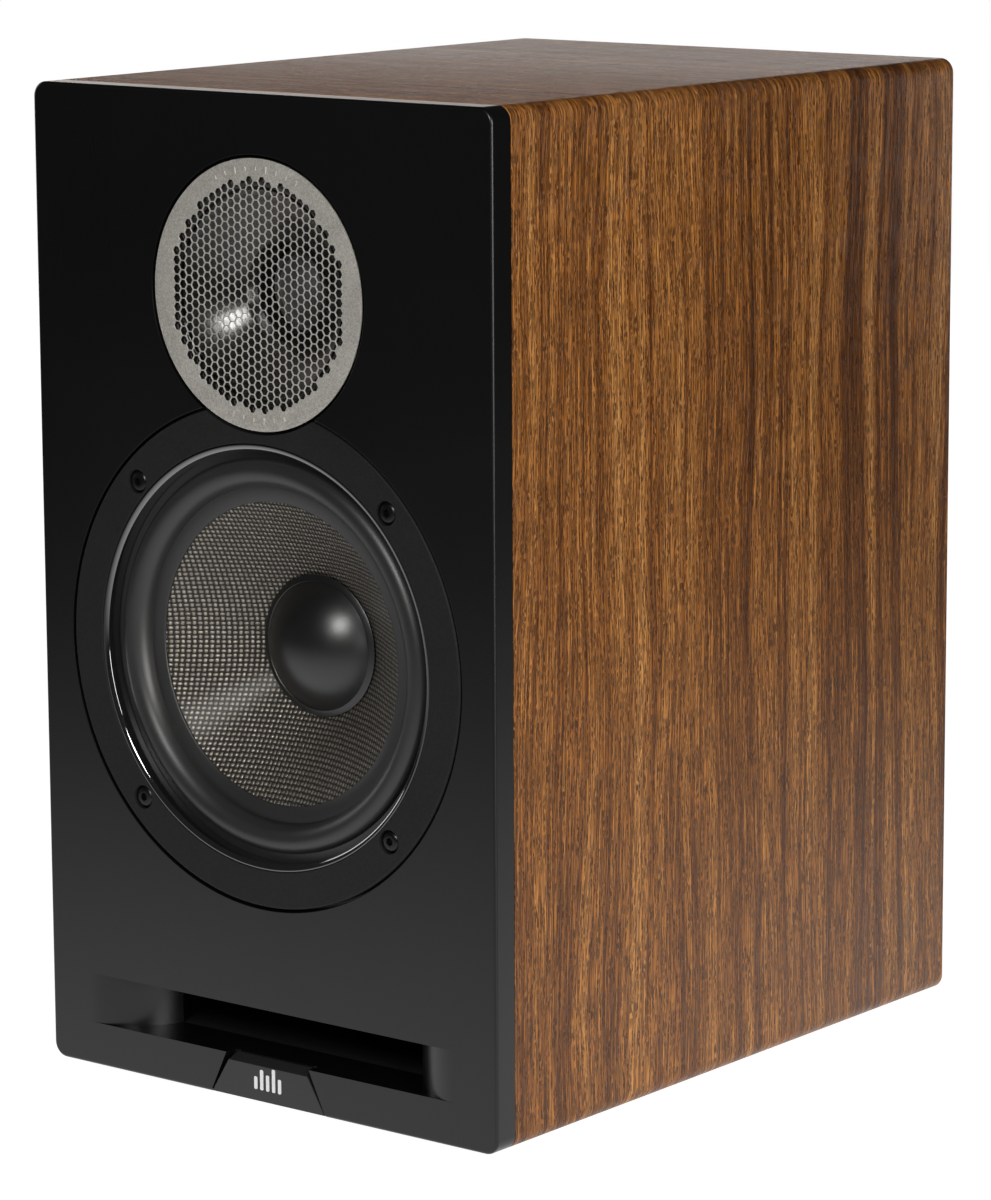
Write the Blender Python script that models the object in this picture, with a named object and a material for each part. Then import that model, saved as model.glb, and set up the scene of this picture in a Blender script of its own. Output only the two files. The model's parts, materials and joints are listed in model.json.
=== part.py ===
"""Two-way bookshelf speaker with a front slot port, as separate pieces. Metres, +Z up, front towards -Y."""
import math

import bmesh
import bpy
from mathutils import Vector

MM = 0.001

# Cabinet
WIDTH = 209 * MM
HEIGHT = 359 * MM
DEPTH = 277 * MM
FOOT = 2 * MM
CORNER = 5.5 * MM
GAP = 0.3 * MM
SKIN = 0.5 * MM
PANEL = 15 * MM
FACE = 10 * MM
BAFFLE = 20 * MM
REAR_INSET = 3 * MM
TOP = FOOT + HEIGHT
CORE_X = WIDTH / 2 - SKIN - GAP
INNER_X = CORE_X - PANEL - GAP
FLOOR_Z = FOOT + SKIN + GAP + PANEL
CEILING_Z = TOP - SKIN - GAP - PANEL

# Slot port
SLOT_LOW = FOOT + 16 * MM
SLOT_HIGH = FOOT + 34.5 * MM
SLOT_MOUTH_X = 85 * MM
SLOT_THROAT_X = 58 * MM
SHELF = 12 * MM
SHELF_END = 170 * MM

# Drive units: heights of their axes, and where the front face lies
WOOFER_Z = FOOT + 161.6 * MM
TWEETER_Z = FOOT + 289.5 * MM
SCREW_CIRCLE = 81.2 * MM
TWEETER_SCREW_CIRCLE = 44.8 * MM

# Radii of turned pieces, in millimetres, as their profiles are
DISC_R = 47.4
DISC_RECESS_R = 48.6
DISC_SEAT = 5.0
GUIDE_R = 41.9
FLANGE_R = 89.4
FLANGE_RECESS_R = 90.3
FLANGE_SEAT = 5.6
TUB_R = 78.0
BORE_R = 76.0
ROLL_R = 65.3
ROLL_HALF = 5.2
CONE_R = 54.6
CAP_R = 25.6
FORMER_R = 19.1
SPIDER_R = 49.8
SPIDER_D = 46.0

# Rear terminals
CUP_Z = 105 * MM
POST_X = 9.5 * MM
CUP_SCREW_X = 44.5 * MM
CUP_SCREW_Z = 32.5 * MM
FINE = 40
ROUND = 24


def at(depth):
    """The Y of a place that lies this deep behind the front face."""
    return depth - DEPTH / 2


def mm(*values):
    return [v * MM for v in values]


def clear_scene():
    for obj in list(bpy.data.objects):
        bpy.data.objects.remove(obj, do_unlink=True)


def finish_for(name, colour, roughness, metallic=0.0):
    material = bpy.data.materials.get(name) or bpy.data.materials.new(name)
    material.use_nodes = True
    shader = material.node_tree.nodes["Principled BSDF"]
    shader.inputs["Base Color"].default_value = (*colour, 1)
    shader.inputs["Roughness"].default_value = roughness
    shader.inputs["Metallic"].default_value = metallic
    return material


FINISHES = {
    "satin_black": ((0.012, 0.012, 0.013), 0.45, 0.0),
    "walnut": ((0.23, 0.115, 0.055), 0.45, 0.0),
    "fibreboard": ((0.42, 0.30, 0.19), 0.85, 0.0),
    "cast_frame": ((0.02, 0.02, 0.021), 0.4, 0.0),
    "gloss_ring": ((0.008, 0.008, 0.009), 0.08, 0.0),
    "black_screw": ((0.03, 0.03, 0.032), 0.3, 1.0),
    "rubber": ((0.018, 0.018, 0.018), 0.6, 0.0),
    "woven_cone": ((0.16, 0.145, 0.12), 0.35, 0.0),
    "spider_cloth": ((0.62, 0.42, 0.14), 0.8, 0.0),
    "foam": ((0.06, 0.06, 0.065), 0.95, 0.0),
    "steel": ((0.55, 0.55, 0.56), 0.3, 1.0),
    "ferrite": ((0.04, 0.04, 0.043), 0.55, 0.0),
    "copper": ((0.75, 0.32, 0.14), 0.3, 1.0),
    "kapton": ((0.5, 0.22, 0.03), 0.35, 0.0),
    "grille": ((0.42, 0.39, 0.35), 0.4, 1.0),
    "dome_cloth": ((0.05, 0.05, 0.055), 0.5, 0.0),
    "moulded_black": ((0.018, 0.018, 0.019), 0.5, 0.0),
    "gold": ((0.85, 0.62, 0.25), 0.2, 1.0),
    "red_plastic": ((0.45, 0.01, 0.01), 0.35, 0.0),
    "board": ((0.03, 0.16, 0.07), 0.5, 0.0),
    "capacitor_wrap": ((0.55, 0.36, 0.08), 0.4, 0.0),
    "resistor_ceramic": ((0.75, 0.74, 0.7), 0.8, 0.0),
}


def new_object(name, mesh, finish):
    obj = bpy.data.objects.new(name, mesh)
    bpy.context.collection.objects.link(obj)
    if finish:
        mesh.materials.append(finish_for(finish, *FINISHES[finish]))
    return obj


def from_bmesh(name, bm, finish, smooth=False):
    bmesh.ops.recalc_face_normals(bm, faces=bm.faces)
    mesh = bpy.data.meshes.new(name)
    bm.to_mesh(mesh)
    bm.free()
    for polygon in mesh.polygons:
        polygon.use_smooth = smooth
    return new_object(name, mesh, finish)


def bevelled(obj, width, segments=2, angle=40):
    modifier = obj.modifiers.new("bevel", "BEVEL")
    modifier.width = width
    modifier.segments = segments
    modifier.limit_method = "ANGLE"
    modifier.angle_limit = math.radians(angle)
    return obj


def combine(obj, other, operation):
    """Adds a Boolean whose other object stays in the scene as a hidden wire shape."""
    modifier = obj.modifiers.new(operation.lower(), "BOOLEAN")
    modifier.operation = operation
    modifier.solver = "EXACT"
    modifier.object = other
    other.hide_render = True
    other.display_type = "WIRE"
    return obj


def cut(obj, *cutters):
    for cutter in cutters:
        combine(obj, cutter, "DIFFERENCE")
    return obj


def add_box(bm, x, depth, z):
    """A box from (low, high) pairs, the middle one counted back from the front face."""
    corners = [(a, at(b), c) for a in x for b in depth for c in z]
    verts = [bm.verts.new(corner) for corner in corners]
    for face in ((0, 1, 3, 2), (4, 6, 7, 5), (0, 4, 5, 1), (2, 3, 7, 6), (0, 2, 6, 4), (1, 5, 7, 3)):
        bm.faces.new([verts[i] for i in face])


def box(name, x, depth, z, finish):
    bm = bmesh.new()
    add_box(bm, x, depth, z)
    return from_bmesh(name, bm, finish)


def arc(centre, radius, start, end, steps):
    """Points round an arc, in degrees from the first axis to the second."""
    angles = [math.radians(start + (end - start) * i / steps) for i in range(steps + 1)]
    return [(centre[0] + radius * math.cos(a), centre[1] + radius * math.sin(a)) for a in angles]


def rounded_rectangle(half_x, low, high, radius, steps=5):
    x = half_x - radius
    points = arc((x, high - radius), radius, 0, 90, steps)
    points += arc((-x, high - radius), radius, 90, 180, steps)
    points += arc((-x, low + radius), radius, 180, 270, steps)
    return points + arc((x, low + radius), radius, 270, 360, steps)


def add_prism(bm, outline, depth):
    """Extrudes an (x, z) outline between two depths."""
    rings = [[bm.verts.new((x, at(d), z)) for x, z in outline] for d in depth]
    bm.faces.new(rings[0])
    bm.faces.new(rings[1])
    for i in range(len(outline)):
        j = (i + 1) % len(outline)
        bm.faces.new((rings[0][i], rings[0][j], rings[1][j], rings[1][i]))


def prism(name, outline, depth, finish=None):
    bm = bmesh.new()
    add_prism(bm, outline, depth)
    return from_bmesh(name, bm, finish)


def tube(name, outer, inner, depth, finish):
    """A closed loop of sheet between two outlines with the same number of points."""
    bm = bmesh.new()
    loops = [[bm.verts.new((x, at(d), z)) for x, z in line] for line in (outer, inner) for d in depth]
    front_out, back_out, front_in, back_in = loops
    for i in range(len(outer)):
        j = (i + 1) % len(outer)
        for a, b in ((front_out, back_out), (back_out, back_in), (back_in, front_in), (front_in, front_out)):
            bm.faces.new((a[i], a[j], b[j], b[i]))
    return from_bmesh(name, bm, finish)


def add_turned(bm, profile, x, z, steps, flutes=0, groove=0.0, phase=0.0):
    """Spins a closed (radius, depth) profile about a front-to-back axis. Flutes run along the widest part."""
    widest = max(r for r, _ in profile)
    rings = []
    for r, d in profile:
        if r == 0:
            rings.append([bm.verts.new((x, at(d), z))])
            continue
        ring = []
        for i in range(steps):
            a = phase + 2 * math.pi * i / steps
            cut_in = groove if flutes and r > 0.9 * widest and i * flutes % steps == 0 else 0.0
            ring.append(bm.verts.new((x + (r - cut_in) * math.cos(a), at(d), z + (r - cut_in) * math.sin(a))))
        rings.append(ring)
    for here, after in zip(rings, rings[1:] + rings[:1]):
        if len(here) == 1 and len(after) == 1:
            continue
        for i in range(steps):
            j = (i + 1) % steps
            corners = [here[i % len(here)], here[j % len(here)], after[j % len(after)], after[i % len(after)]]
            bm.faces.new(list(dict.fromkeys(corners)))


def turned(name, profile, x, z, finish=None, steps=ROUND, flutes=0, groove=0.0, origin=None, phase=0.0):
    bm = bmesh.new()
    add_turned(bm, [(r * MM, d * MM) for r, d in profile], x, z, steps, flutes, groove, phase)
    if origin is None:
        return from_bmesh(name, bm, finish, smooth=True)
    bmesh.ops.translate(bm, verts=bm.verts, vec=-Vector(origin))
    obj = from_bmesh(name, bm, finish, smooth=True)
    obj.location = origin
    return obj


def four_around(radius, start=45, count=4):
    angles = [math.radians(start + 360 * i / count) for i in range(count)]
    return [(round(radius * math.cos(a), 6), round(radius * math.sin(a), 6)) for a in angles]


def screw_holes(name, places, head, shank, steps=10):
    """One cutter of stepped round holes: head and shank are (radius, start, end) in millimetres."""
    bm = bmesh.new()
    profile = [(0, head[1]), (head[0], head[1]), (head[0], head[2])]
    if shank[0] != head[0]:
        profile.append((shank[0], head[2]))
    profile += [(shank[0], shank[2]), (0, shank[2])]
    for x, z in places:
        add_turned(bm, [(r * MM, d * MM) for r, d in profile], x, z, steps, phase=0.13)
    return from_bmesh(name, bm, None)


def screw(name, place, head, shank, socket, finish, steps=12):
    """A button-head screw with a round socket in its head."""
    profile = [(0, head[1] + 1.2), (socket, head[1] + 1.2), (socket, head[1]), (head[0] * 0.7, head[1])]
    profile += [(head[0], head[1] + 0.7), (head[0], head[2]), (shank[0], head[2])]
    profile += [(shank[0], shank[2] - 1.5), (0, shank[2])]
    return turned(name, profile, *place, finish, steps=steps)


# ---- cabinet ----


def front_baffle():
    outline = rounded_rectangle(WIDTH / 2, FOOT, TOP, CORNER)
    inner = rounded_rectangle(WIDTH / 2 - 1.2 * MM, FOOT + 1.2 * MM, TOP - 1.2 * MM, CORNER - 1.2 * MM)
    middle = rounded_rectangle(WIDTH / 2 - 0.35 * MM, FOOT + 0.35 * MM, TOP - 0.35 * MM, CORNER - 0.35 * MM)
    bm = bmesh.new()
    depths = (0.0, 0.35 * MM, 1.2 * MM, FACE)
    rings = []
    for line, d in zip((inner, middle, outline, outline), depths):
        rings.append([bm.verts.new((x, at(d), z)) for x, z in line])
    bm.faces.new(rings[0])
    bm.faces.new(rings[-1])
    for here, after in zip(rings, rings[1:]):
        for i in range(len(here)):
            j = (i + 1) % len(here)
            bm.faces.new((here[i], here[j], after[j], after[i]))
    obj = from_bmesh("front_baffle", bm, "satin_black")
    plug_z = (FOOT + SKIN + GAP, CEILING_Z - GAP)
    combine(obj, box("baffle_plug", (-INNER_X, INNER_X), (FACE - MM, BAFFLE), plug_z, None), "UNION")
    guide_hole = GUIDE_R + 0.5
    tweeter_hole = [(0, -1), (DISC_RECESS_R, -1), (DISC_RECESS_R, DISC_SEAT), (guide_hole, DISC_SEAT)]
    tweeter_hole += [(guide_hole, 22), (0, 22)]
    tub_hole = TUB_R + 0.5
    woofer_hole = [(0, -1), (FLANGE_RECESS_R, -1), (FLANGE_RECESS_R, FLANGE_SEAT), (tub_hole, FLANGE_SEAT)]
    woofer_hole += [(tub_hole, 22), (0, 22)]
    run = SLOT_MOUTH_X - SLOT_THROAT_X
    flare_r = (run**2 + BAFFLE**2) / (2 * BAFFLE)
    sweep = math.degrees(math.asin(run / flare_r))
    flare = arc((-SLOT_MOUTH_X, flare_r), flare_r, -90, sweep - 90, 8)
    half = [(-SLOT_MOUTH_X, -2 * MM)] + flare + [(-SLOT_THROAT_X, 24 * MM)]
    plan = half + [(-x, d) for x, d in reversed(half)]
    bm = bmesh.new()
    low = [bm.verts.new((x, at(d), SLOT_LOW)) for x, d in plan]
    high = [bm.verts.new((x, at(d), SLOT_HIGH)) for x, d in plan]
    bm.faces.new(low)
    bm.faces.new(high)
    for i in range(len(plan)):
        j = (i + 1) % len(plan)
        bm.faces.new((low[i], low[j], high[j], high[i]))
    slot = from_bmesh("slot_cutter", bm, None)
    notch = [(-28 * MM, 0), (28 * MM, 0), (18 * MM, SLOT_LOW + 3 * MM), (-18 * MM, SLOT_LOW + 3 * MM)]
    screws = [(x, WOOFER_Z + z) for x, z in four_around(SCREW_CIRCLE)]
    small = [(x, TWEETER_Z + z) for x, z in four_around(TWEETER_SCREW_CIRCLE, 80, 3)]
    return cut(
        obj,
        turned("tweeter_hole_cutter", tweeter_hole, 0, TWEETER_Z, steps=FINE, phase=0.03),
        turned("woofer_hole_cutter", woofer_hole, 0, WOOFER_Z, steps=FINE, phase=0.02),
        slot,
        prism("badge_notch_cutter", notch, (-MM, 5 * MM)),
        screw_holes("woofer_pilot_cutter", screws, (2.1, 3, 5.7), (2.1, 5.7, 19)),
        screw_holes("tweeter_pilot_cutter", small, (1.5, 3, 5.2), (1.5, 5.2, 15)),
    )


def panels():
    low, high = FOOT + SKIN + GAP, TOP - SKIN - GAP
    radius = CORNER - SKIN - GAP
    back = DEPTH
    for side, name in ((-1, "left_panel"), (1, "right_panel")):
        outline = [(CORE_X - PANEL, low)] + arc((CORE_X - radius, low + radius), radius, 270, 360, 5)
        outline += arc((CORE_X - radius, high - radius), radius, 0, 90, 5) + [(CORE_X - PANEL, high)]
        prism(name, [(side * x, z) for x, z in outline], (FACE + GAP, back), "fibreboard")
    box("top_panel", (-INNER_X, INNER_X), (FACE + GAP, back), (CEILING_Z, high), "fibreboard")
    box("bottom_panel", (-INNER_X, INNER_X), (BAFFLE + GAP, back), (low, FLOOR_Z), "fibreboard")
    outer = rounded_rectangle(WIDTH / 2, FOOT, TOP, CORNER)
    inner = rounded_rectangle(WIDTH / 2 - SKIN, FOOT + SKIN, TOP - SKIN, CORNER - SKIN)
    tube("walnut_wrap", outer, inner, (FACE + GAP, back), "walnut")
    shelf_z = (SLOT_HIGH + GAP, SLOT_HIGH + GAP + SHELF)
    box("port_shelf", (-INNER_X, INNER_X), (BAFFLE + GAP, SHELF_END), shelf_z, "fibreboard")
    brace_low = shelf_z[1] + GAP
    brace = box("window_brace", (-INNER_X, INNER_X), mm(100, 112), (brace_low, CEILING_Z - GAP), "fibreboard")
    window = rounded_rectangle(62 * MM, brace_low + 24 * MM, CEILING_Z - 24 * MM, 12 * MM, 3)
    cut(brace, prism("brace_window_cutter", window, mm(95, 117)))


def rear_panel():
    depth = (DEPTH - REAR_INSET - PANEL, DEPTH - REAR_INSET)
    panel = box("rear_panel", (-INNER_X, INNER_X), depth, (FLOOR_Z + GAP, CEILING_Z - GAP), "satin_black")
    opening = rounded_rectangle(41.5 * MM, CUP_Z - 27.5 * MM, CUP_Z + 27.5 * MM, 7 * MM, 3)
    pilots = screw_holes("cup_pilot_cutter", cup_screw_places(), (1.6, 256, 270), (1.6, 270, 276))
    cut(panel, prism("cup_opening_cutter", opening, mm(255, 280)), pilots)


def badge_plate():
    """A plate with sloping sides, and a top edge that leans back into the slot."""
    bottom, front_top, back_top = FOOT + GAP, FOOT + 13.4 * MM, SLOT_LOW - 0.2 * MM
    bm = bmesh.new()
    rings = []
    for d, top, top_x in ((0.2, front_top, 18.6), (3.4, back_top, 17.0), (4.6, back_top, 17.0)):
        corners = [(-26.6 * MM, bottom), (26.6 * MM, bottom), (top_x * MM, top), (-top_x * MM, top)]
        rings.append([bm.verts.new((x, at(d * MM), z)) for x, z in corners])
    bm.faces.new(rings[0])
    bm.faces.new(rings[-1])
    for here, after in zip(rings, rings[1:]):
        for i in range(4):
            j = (i + 1) % 4
            bm.faces.new((here[i], here[j], after[j], after[i]))
    return from_bmesh("badge_plate", bm, "satin_black")


def foot_pads():
    pad = (0.0, FOOT - GAP)
    places = [(x * (WIDTH / 2 - 22 * MM), d) for d in mm(32, 247) for x in (-1, 1)]
    for number, (x, d) in enumerate(places, 1):
        bm = bmesh.new()
        circle = arc((x, at(d)), 6 * MM, 0, 345, 23)
        rings = [[bm.verts.new((px, py, z)) for px, py in circle] for z in pad]
        bm.faces.new(rings[0])
        bm.faces.new(rings[1])
        for i in range(len(circle)):
            j = (i + 1) % len(circle)
            bm.faces.new((rings[0][i], rings[0][j], rings[1][j], rings[1][i]))
        from_bmesh(f"foot_pad_{number}", bm, "rubber")


# ---- woofer ----


def woofer_frame():
    head, shank = (4.3, -1, 2.3), (2.1, 2.3, 7)
    places = [(x, WOOFER_Z + z) for x, z in four_around(SCREW_CIRCLE)]
    holes = screw_holes("woofer_screw_cutter", places, head, shank)
    clearing = [(0, -2), (DISC_RECESS_R, -2), (DISC_RECESS_R, 9), (0, 9)]
    clearance = turned("disc_clearance_cutter", clearing, 0, TWEETER_Z, steps=FINE, phase=0.03)
    profile = [(FLANGE_R, 0.9), (FLANGE_R, 4), (TUB_R, 4), (TUB_R, 14), (53.3, 44.5), (53.3, 47.5), (47, 53)]
    profile += [(24, 53), (24, 50.4), (43.5, 50.4), (43.5, 47), (50.5, 47), (50.5, 43.5), (71.2, 13)]
    profile += [(71.2, 8.3), (BORE_R, 8.3), (BORE_R, 0), (FLANGE_R - 1.2, 0)]
    basket = turned("woofer_basket", profile, 0, WOOFER_Z, "cast_frame", steps=FINE)
    bm = bmesh.new()
    for i in range(6):
        middle = 60 * i
        spread = [math.radians(middle + a) for a in (-19, -6.5, 6.5, 19)]
        inner = [(46 * MM * math.cos(a), WOOFER_Z + 46 * MM * math.sin(a)) for a in spread]
        outer = [(82 * MM * math.cos(a), WOOFER_Z + 82 * MM * math.sin(a)) for a in reversed(spread)]
        add_prism(bm, inner + outer, mm(18, 40))
    windows = from_bmesh("basket_window_cutter", bm, None)
    cut(basket, clearance, windows, holes)
    gasket = [(FLANGE_R - 0.5, 4.3), (FLANGE_R - 0.5, 5.3), (TUB_R + 0.8, 5.3), (TUB_R + 0.8, 4.3)]
    cut(turned("woofer_gasket", gasket, 0, WOOFER_Z, "foam", steps=FINE), clearance, holes)
    outer, inner = BORE_R - 0.25, BORE_R - 1.1
    ring = [(outer, 0.3), (outer, 6.7), (inner - 0.7, 6.7), (inner, 5.8), (inner, 1.0), (outer - 0.2, 0.3)]
    turned("woofer_trim_ring", ring, 0, WOOFER_Z, "gloss_ring", steps=FINE)
    for number, place in enumerate(places, 1):
        screw(f"woofer_screw_{number}", place, (4.0, 0.3, 2.0), (1.8, 2.0, 18), 1.5, "black_screw")
    box("woofer_terminal", mm(-9, 9), mm(44.8, 54), (WOOFER_Z + 54 * MM, WOOFER_Z + 57 * MM), "moulded_black")


def half_roll(middle, reach, outer_base, inner_base, rise, steps):
    """Points of a half-roll from its outer foot to its inner foot, as (radius, depth)."""
    points = []
    for i in range(steps + 1):
        t = math.pi * i / steps
        base = outer_base + (inner_base - outer_base) * i / steps
        points.append((middle + reach * math.cos(t), base - rise * math.sin(t)))
    return points


def woofer_soft_parts():
    land, lip = BORE_R - 0.6, CONE_R - 0.4
    front = [(land, 7.0)] + half_roll(ROLL_R, ROLL_HALF, 7.0, 9.4, 5.0, 6) + [(lip, 9.4)]
    back = [(lip, 10.2)] + half_roll(ROLL_R, ROLL_HALF - 0.9, 8.0, 10.2, 4.6, 6)[::-1] + [(land, 8.0)]
    turned("woofer_surround", front + back, 0, WOOFER_Z, "rubber", steps=FINE)
    waves, rise, start, reach = 3, 1.3, FORMER_R + 0.4, 24
    shares = [i / (waves * 3) for i in range(waves * 3 + 1)]
    top = [(start + reach * s, SPIDER_D - rise * math.sin(2 * math.pi * waves * s)) for s in shares]
    under = [(r, d + 0.7) for r, d in top]
    spider = [(SPIDER_R, SPIDER_D)] + top[::-1] + under + [(SPIDER_R, SPIDER_D + 0.7)]
    turned("woofer_spider", spider, 0, WOOFER_Z, "spider_cloth")


def woofer_motor():
    plate = [(21, 53.3), (44.2, 53.3), (45, 54.1), (45, 59.3), (21, 59.3)]
    turned("woofer_top_plate", plate, 0, WOOFER_Z, "steel")
    magnet = [(28, 59.6), (49, 59.6), (50, 60.6), (50, 76.6), (49, 77.6), (28, 77.6)]
    turned("woofer_magnet", magnet, 0, WOOFER_Z, "ferrite")
    yoke = [(5, 53.5), (17.6, 53.5), (18.2, 54.1), (18.2, 77.9), (47.2, 77.9), (48, 78.7), (48, 83.1)]
    yoke += [(47.2, 83.9), (5, 83.9)]
    turned("woofer_yoke", yoke, 0, WOOFER_Z, "steel")


def woofer_moving_parts():
    origin = (0, at(31 * MM), WOOFER_Z)
    neck = FORMER_R + 0.4
    front = [(CONE_R + 4.6, 10.6), (CONE_R, 10.6), (40, 21.1), (26, 31.5), (neck, 36.3)]
    back = [(neck, 37.6), (26, 32.7), (40, 22.2), (CONE_R + 0.2, 11.5), (CONE_R + 4.6, 11.5)]
    turned("woofer_cone", front + back, 0, WOOFER_Z, "woven_cone", steps=FINE, origin=origin)
    rim = math.sin(math.radians(66))
    dome = [(CAP_R * math.sin(math.radians(a)) / rim, a) for a in (0, 16, 32, 49, 66)]
    outside = [(r, 31.0 - 10.5 * math.cos(math.radians(a * 90 / 66))) for r, a in dome]
    inside = [(r * 0.965, d + 0.9) for r, d in outside]
    outside[-1] = (CAP_R, 31.2)
    inside[-1] = (CAP_R - 0.9, 31.6)
    turned("woofer_dust_cap", outside + inside[::-1], 0, WOOFER_Z, "moulded_black", steps=36, origin=origin)
    former = [(FORMER_R - 0.5, 34), (FORMER_R, 34), (FORMER_R, 64), (FORMER_R - 0.5, 64)]
    turned("woofer_coil_former", former, 0, WOOFER_Z, "kapton", origin=origin)
    coil = [(neck - 0.1, 49.3), (neck + 0.9, 49.3), (neck + 0.9, 63.3), (neck - 0.1, 63.3)]
    turned("woofer_voice_coil", coil, 0, WOOFER_Z, "copper", origin=origin)


# ---- tweeter ----


def bowl(lip_r, lip_d, throat_r, throat_d, steps=6):
    """The waveguide's wall from its lip to its throat, flat at the lip and steeper inside."""
    points = []
    for i in range(steps + 1):
        t = i / steps
        share = (1 - (1 - t) ** 2) ** 0.9
        points.append((lip_r + (throat_r - lip_r) * t, lip_d + (throat_d - lip_d) * share))
    return points


def tweeter():
    small = [(x, TWEETER_Z + z) for x, z in four_around(TWEETER_SCREW_CIRCLE, 80, 3)]
    front = [(DISC_R, 1.5), (40.4, 1.5)] + bowl(39.6, 2.4, 15.2, 24.6)
    back = [(15.2, 27.0), (18.5, 27.0)] + bowl(GUIDE_R, 6.4, 18.2, 26.8)[-2::-1]
    back += [(GUIDE_R, 4.7), (DISC_R, 4.7)]
    guide = turned("tweeter_waveguide", front + back, 0, TWEETER_Z, "moulded_black", steps=40)
    cut(guide, screw_holes("tweeter_screw_cutter", small, (2.5, 0.5, 3.2), (1.5, 3.2, 7)))
    disc = [(0, 0.3), (DISC_R - 0.4, 0.3), (DISC_R, 0.7), (DISC_R, 1.2), (0, 1.2)]
    turned("tweeter_grille", disc, 0, TWEETER_Z, "grille", steps=FINE)
    for number, place in enumerate(small, 1):
        screw(f"tweeter_screw_{number}", place, (2.2, 1.6, 2.9), (1.2, 2.9, 14), 0.8, "black_screw", steps=10)
    roll_front = [(18.3, 27.3)] + half_roll(14.1, 0.9, 27.3, 27.3, 0.9, 3) + [(12.95, 27.3)]
    roll_back = [(12.95, 27.7)] + half_roll(14.1, 0.6, 27.7, 27.7, 0.8, 3)[::-1] + [(18.3, 27.7)]
    turned("tweeter_suspension", roll_front + roll_back, 0, TWEETER_Z, "dome_cloth")
    turned("tweeter_top_plate", [(13.4, 28), (36, 28), (36, 31), (13.4, 31)], 0, TWEETER_Z, "steel")
    turned("tweeter_magnet", [(18, 31.3), (36, 31.3), (36, 39.3), (18, 39.3)], 0, TWEETER_Z, "ferrite")
    yoke = [(4, 28.6), (11.7, 28.6), (11.7, 39.6), (34, 39.6), (34, 43.6), (4, 43.6)]
    turned("tweeter_yoke", yoke, 0, TWEETER_Z, "steel")
    chamber = [(0, 60), (18, 60), (18, 43.9), (20, 43.9), (20, 61), (19, 62), (0, 62)]
    turned("tweeter_rear_chamber", chamber, 0, TWEETER_Z, "moulded_black")
    origin = (0, at(27 * MM), TWEETER_Z)
    arc_steps = [math.radians(a) for a in (0, 15, 30, 45, 60)]
    across = 12.6 / math.sin(arc_steps[-1])
    flat = math.cos(arc_steps[-1])
    outside = [(across * math.sin(a), 27.2 - across * (math.cos(a) - flat)) for a in arc_steps]
    inside = [(r * 0.96, d + 0.4) for r, d in outside]
    turned("tweeter_dome", outside + inside[::-1], 0, TWEETER_Z, "dome_cloth", origin=origin)
    coil = [(12.15, 28.0), (12.8, 28.0), (12.8, 31.5), (12.15, 31.5)]
    turned("tweeter_voice_coil", coil, 0, TWEETER_Z, "copper", steps=24, origin=origin)


# ---- rear terminals ----


def cup_screw_places():
    return [(x, CUP_Z + z) for z in (-CUP_SCREW_Z, CUP_SCREW_Z) for x in (-CUP_SCREW_X, CUP_SCREW_X)]


def terminal_cup():
    plate = rounded_rectangle(50 * MM, CUP_Z - 38 * MM, CUP_Z + 38 * MM, 6 * MM, 3)
    cup = prism("terminal_cup", plate, mm(274.3, 276.8), "moulded_black")
    bowl_outline = rounded_rectangle(41 * MM, CUP_Z - 27 * MM, CUP_Z + 27 * MM, 6.5 * MM, 3)
    combine(cup, prism("cup_bowl", bowl_outline, mm(251, 275.3)), "UNION")
    pocket = rounded_rectangle(39 * MM, CUP_Z - 25 * MM, CUP_Z + 25 * MM, 4.5 * MM, 3)
    posts = [(x, CUP_Z) for x in (-POST_X, POST_X)]
    cut(
        cup,
        prism("cup_pocket_cutter", pocket, mm(253, 280)),
        screw_holes("post_hole_cutter", posts, (3.0, 249, 250), (3.0, 250, 255)),
        screw_holes("cup_screw_cutter", cup_screw_places(), (1.7, 272, 275.4), (3.3, 275.4, 279)),
    )
    for number, (x, z) in enumerate(cup_screw_places(), 1):
        profile = [(0, 258), (1.3, 259.5), (1.3, 275.7), (3.0, 275.7), (3.0, 276.2), (2.2, 276.7)]
        profile += [(1.1, 276.7), (1.1, 275.9), (0, 275.9)]
        turned(f"terminal_screw_{number}", profile, x, z, "black_screw", steps=12)


def binding_post(colour, x, finish):
    stud = [(0, 243), (2.5, 243), (2.5, 247.5), (5, 247.5), (5, 250.7), (2.7, 250.7), (2.7, 253.3)]
    stud += [(6.8, 253.3), (6.8, 256.3), (3.0, 256.3), (3.0, 274), (2.0, 274), (2.0, 259), (0, 259)]
    turned(f"{colour}_post_stud", stud, x, CUP_Z, "gold", steps=16)
    origin = (x, at(265 * MM), CUP_Z)
    washer = [(3.3, 256.6), (6.5, 256.6), (6.5, 258.6), (3.3, 258.6)]
    turned(f"{colour}_clamp_washer", washer, x, CUP_Z, "gold", steps=20, origin=origin)
    knob = [(3.3, 258.9), (6.2, 258.9), (7.0, 259.7), (7.0, 273.6), (6.2, 275), (3.3, 275)]
    turned(f"{colour}_post_knob", knob, x, CUP_Z, finish, steps=36, flutes=12, groove=0.5 * MM, origin=origin)


# ---- inside the cabinet ----


def add_round_x(bm, profile, depth, z, steps):
    """Spins a closed (radius, x) profile about a left-to-right axis."""
    rings = []
    for r, x in profile:
        circle = [2 * math.pi * i / steps for i in range(steps)]
        rings.append([bm.verts.new((x, at(depth) + r * math.cos(a), z + r * math.sin(a))) for a in circle])
    for here, after in zip(rings, rings[1:] + rings[:1]):
        for i in range(steps):
            j = (i + 1) % steps
            bm.faces.new((here[i], here[j], after[j], after[i]))


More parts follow.
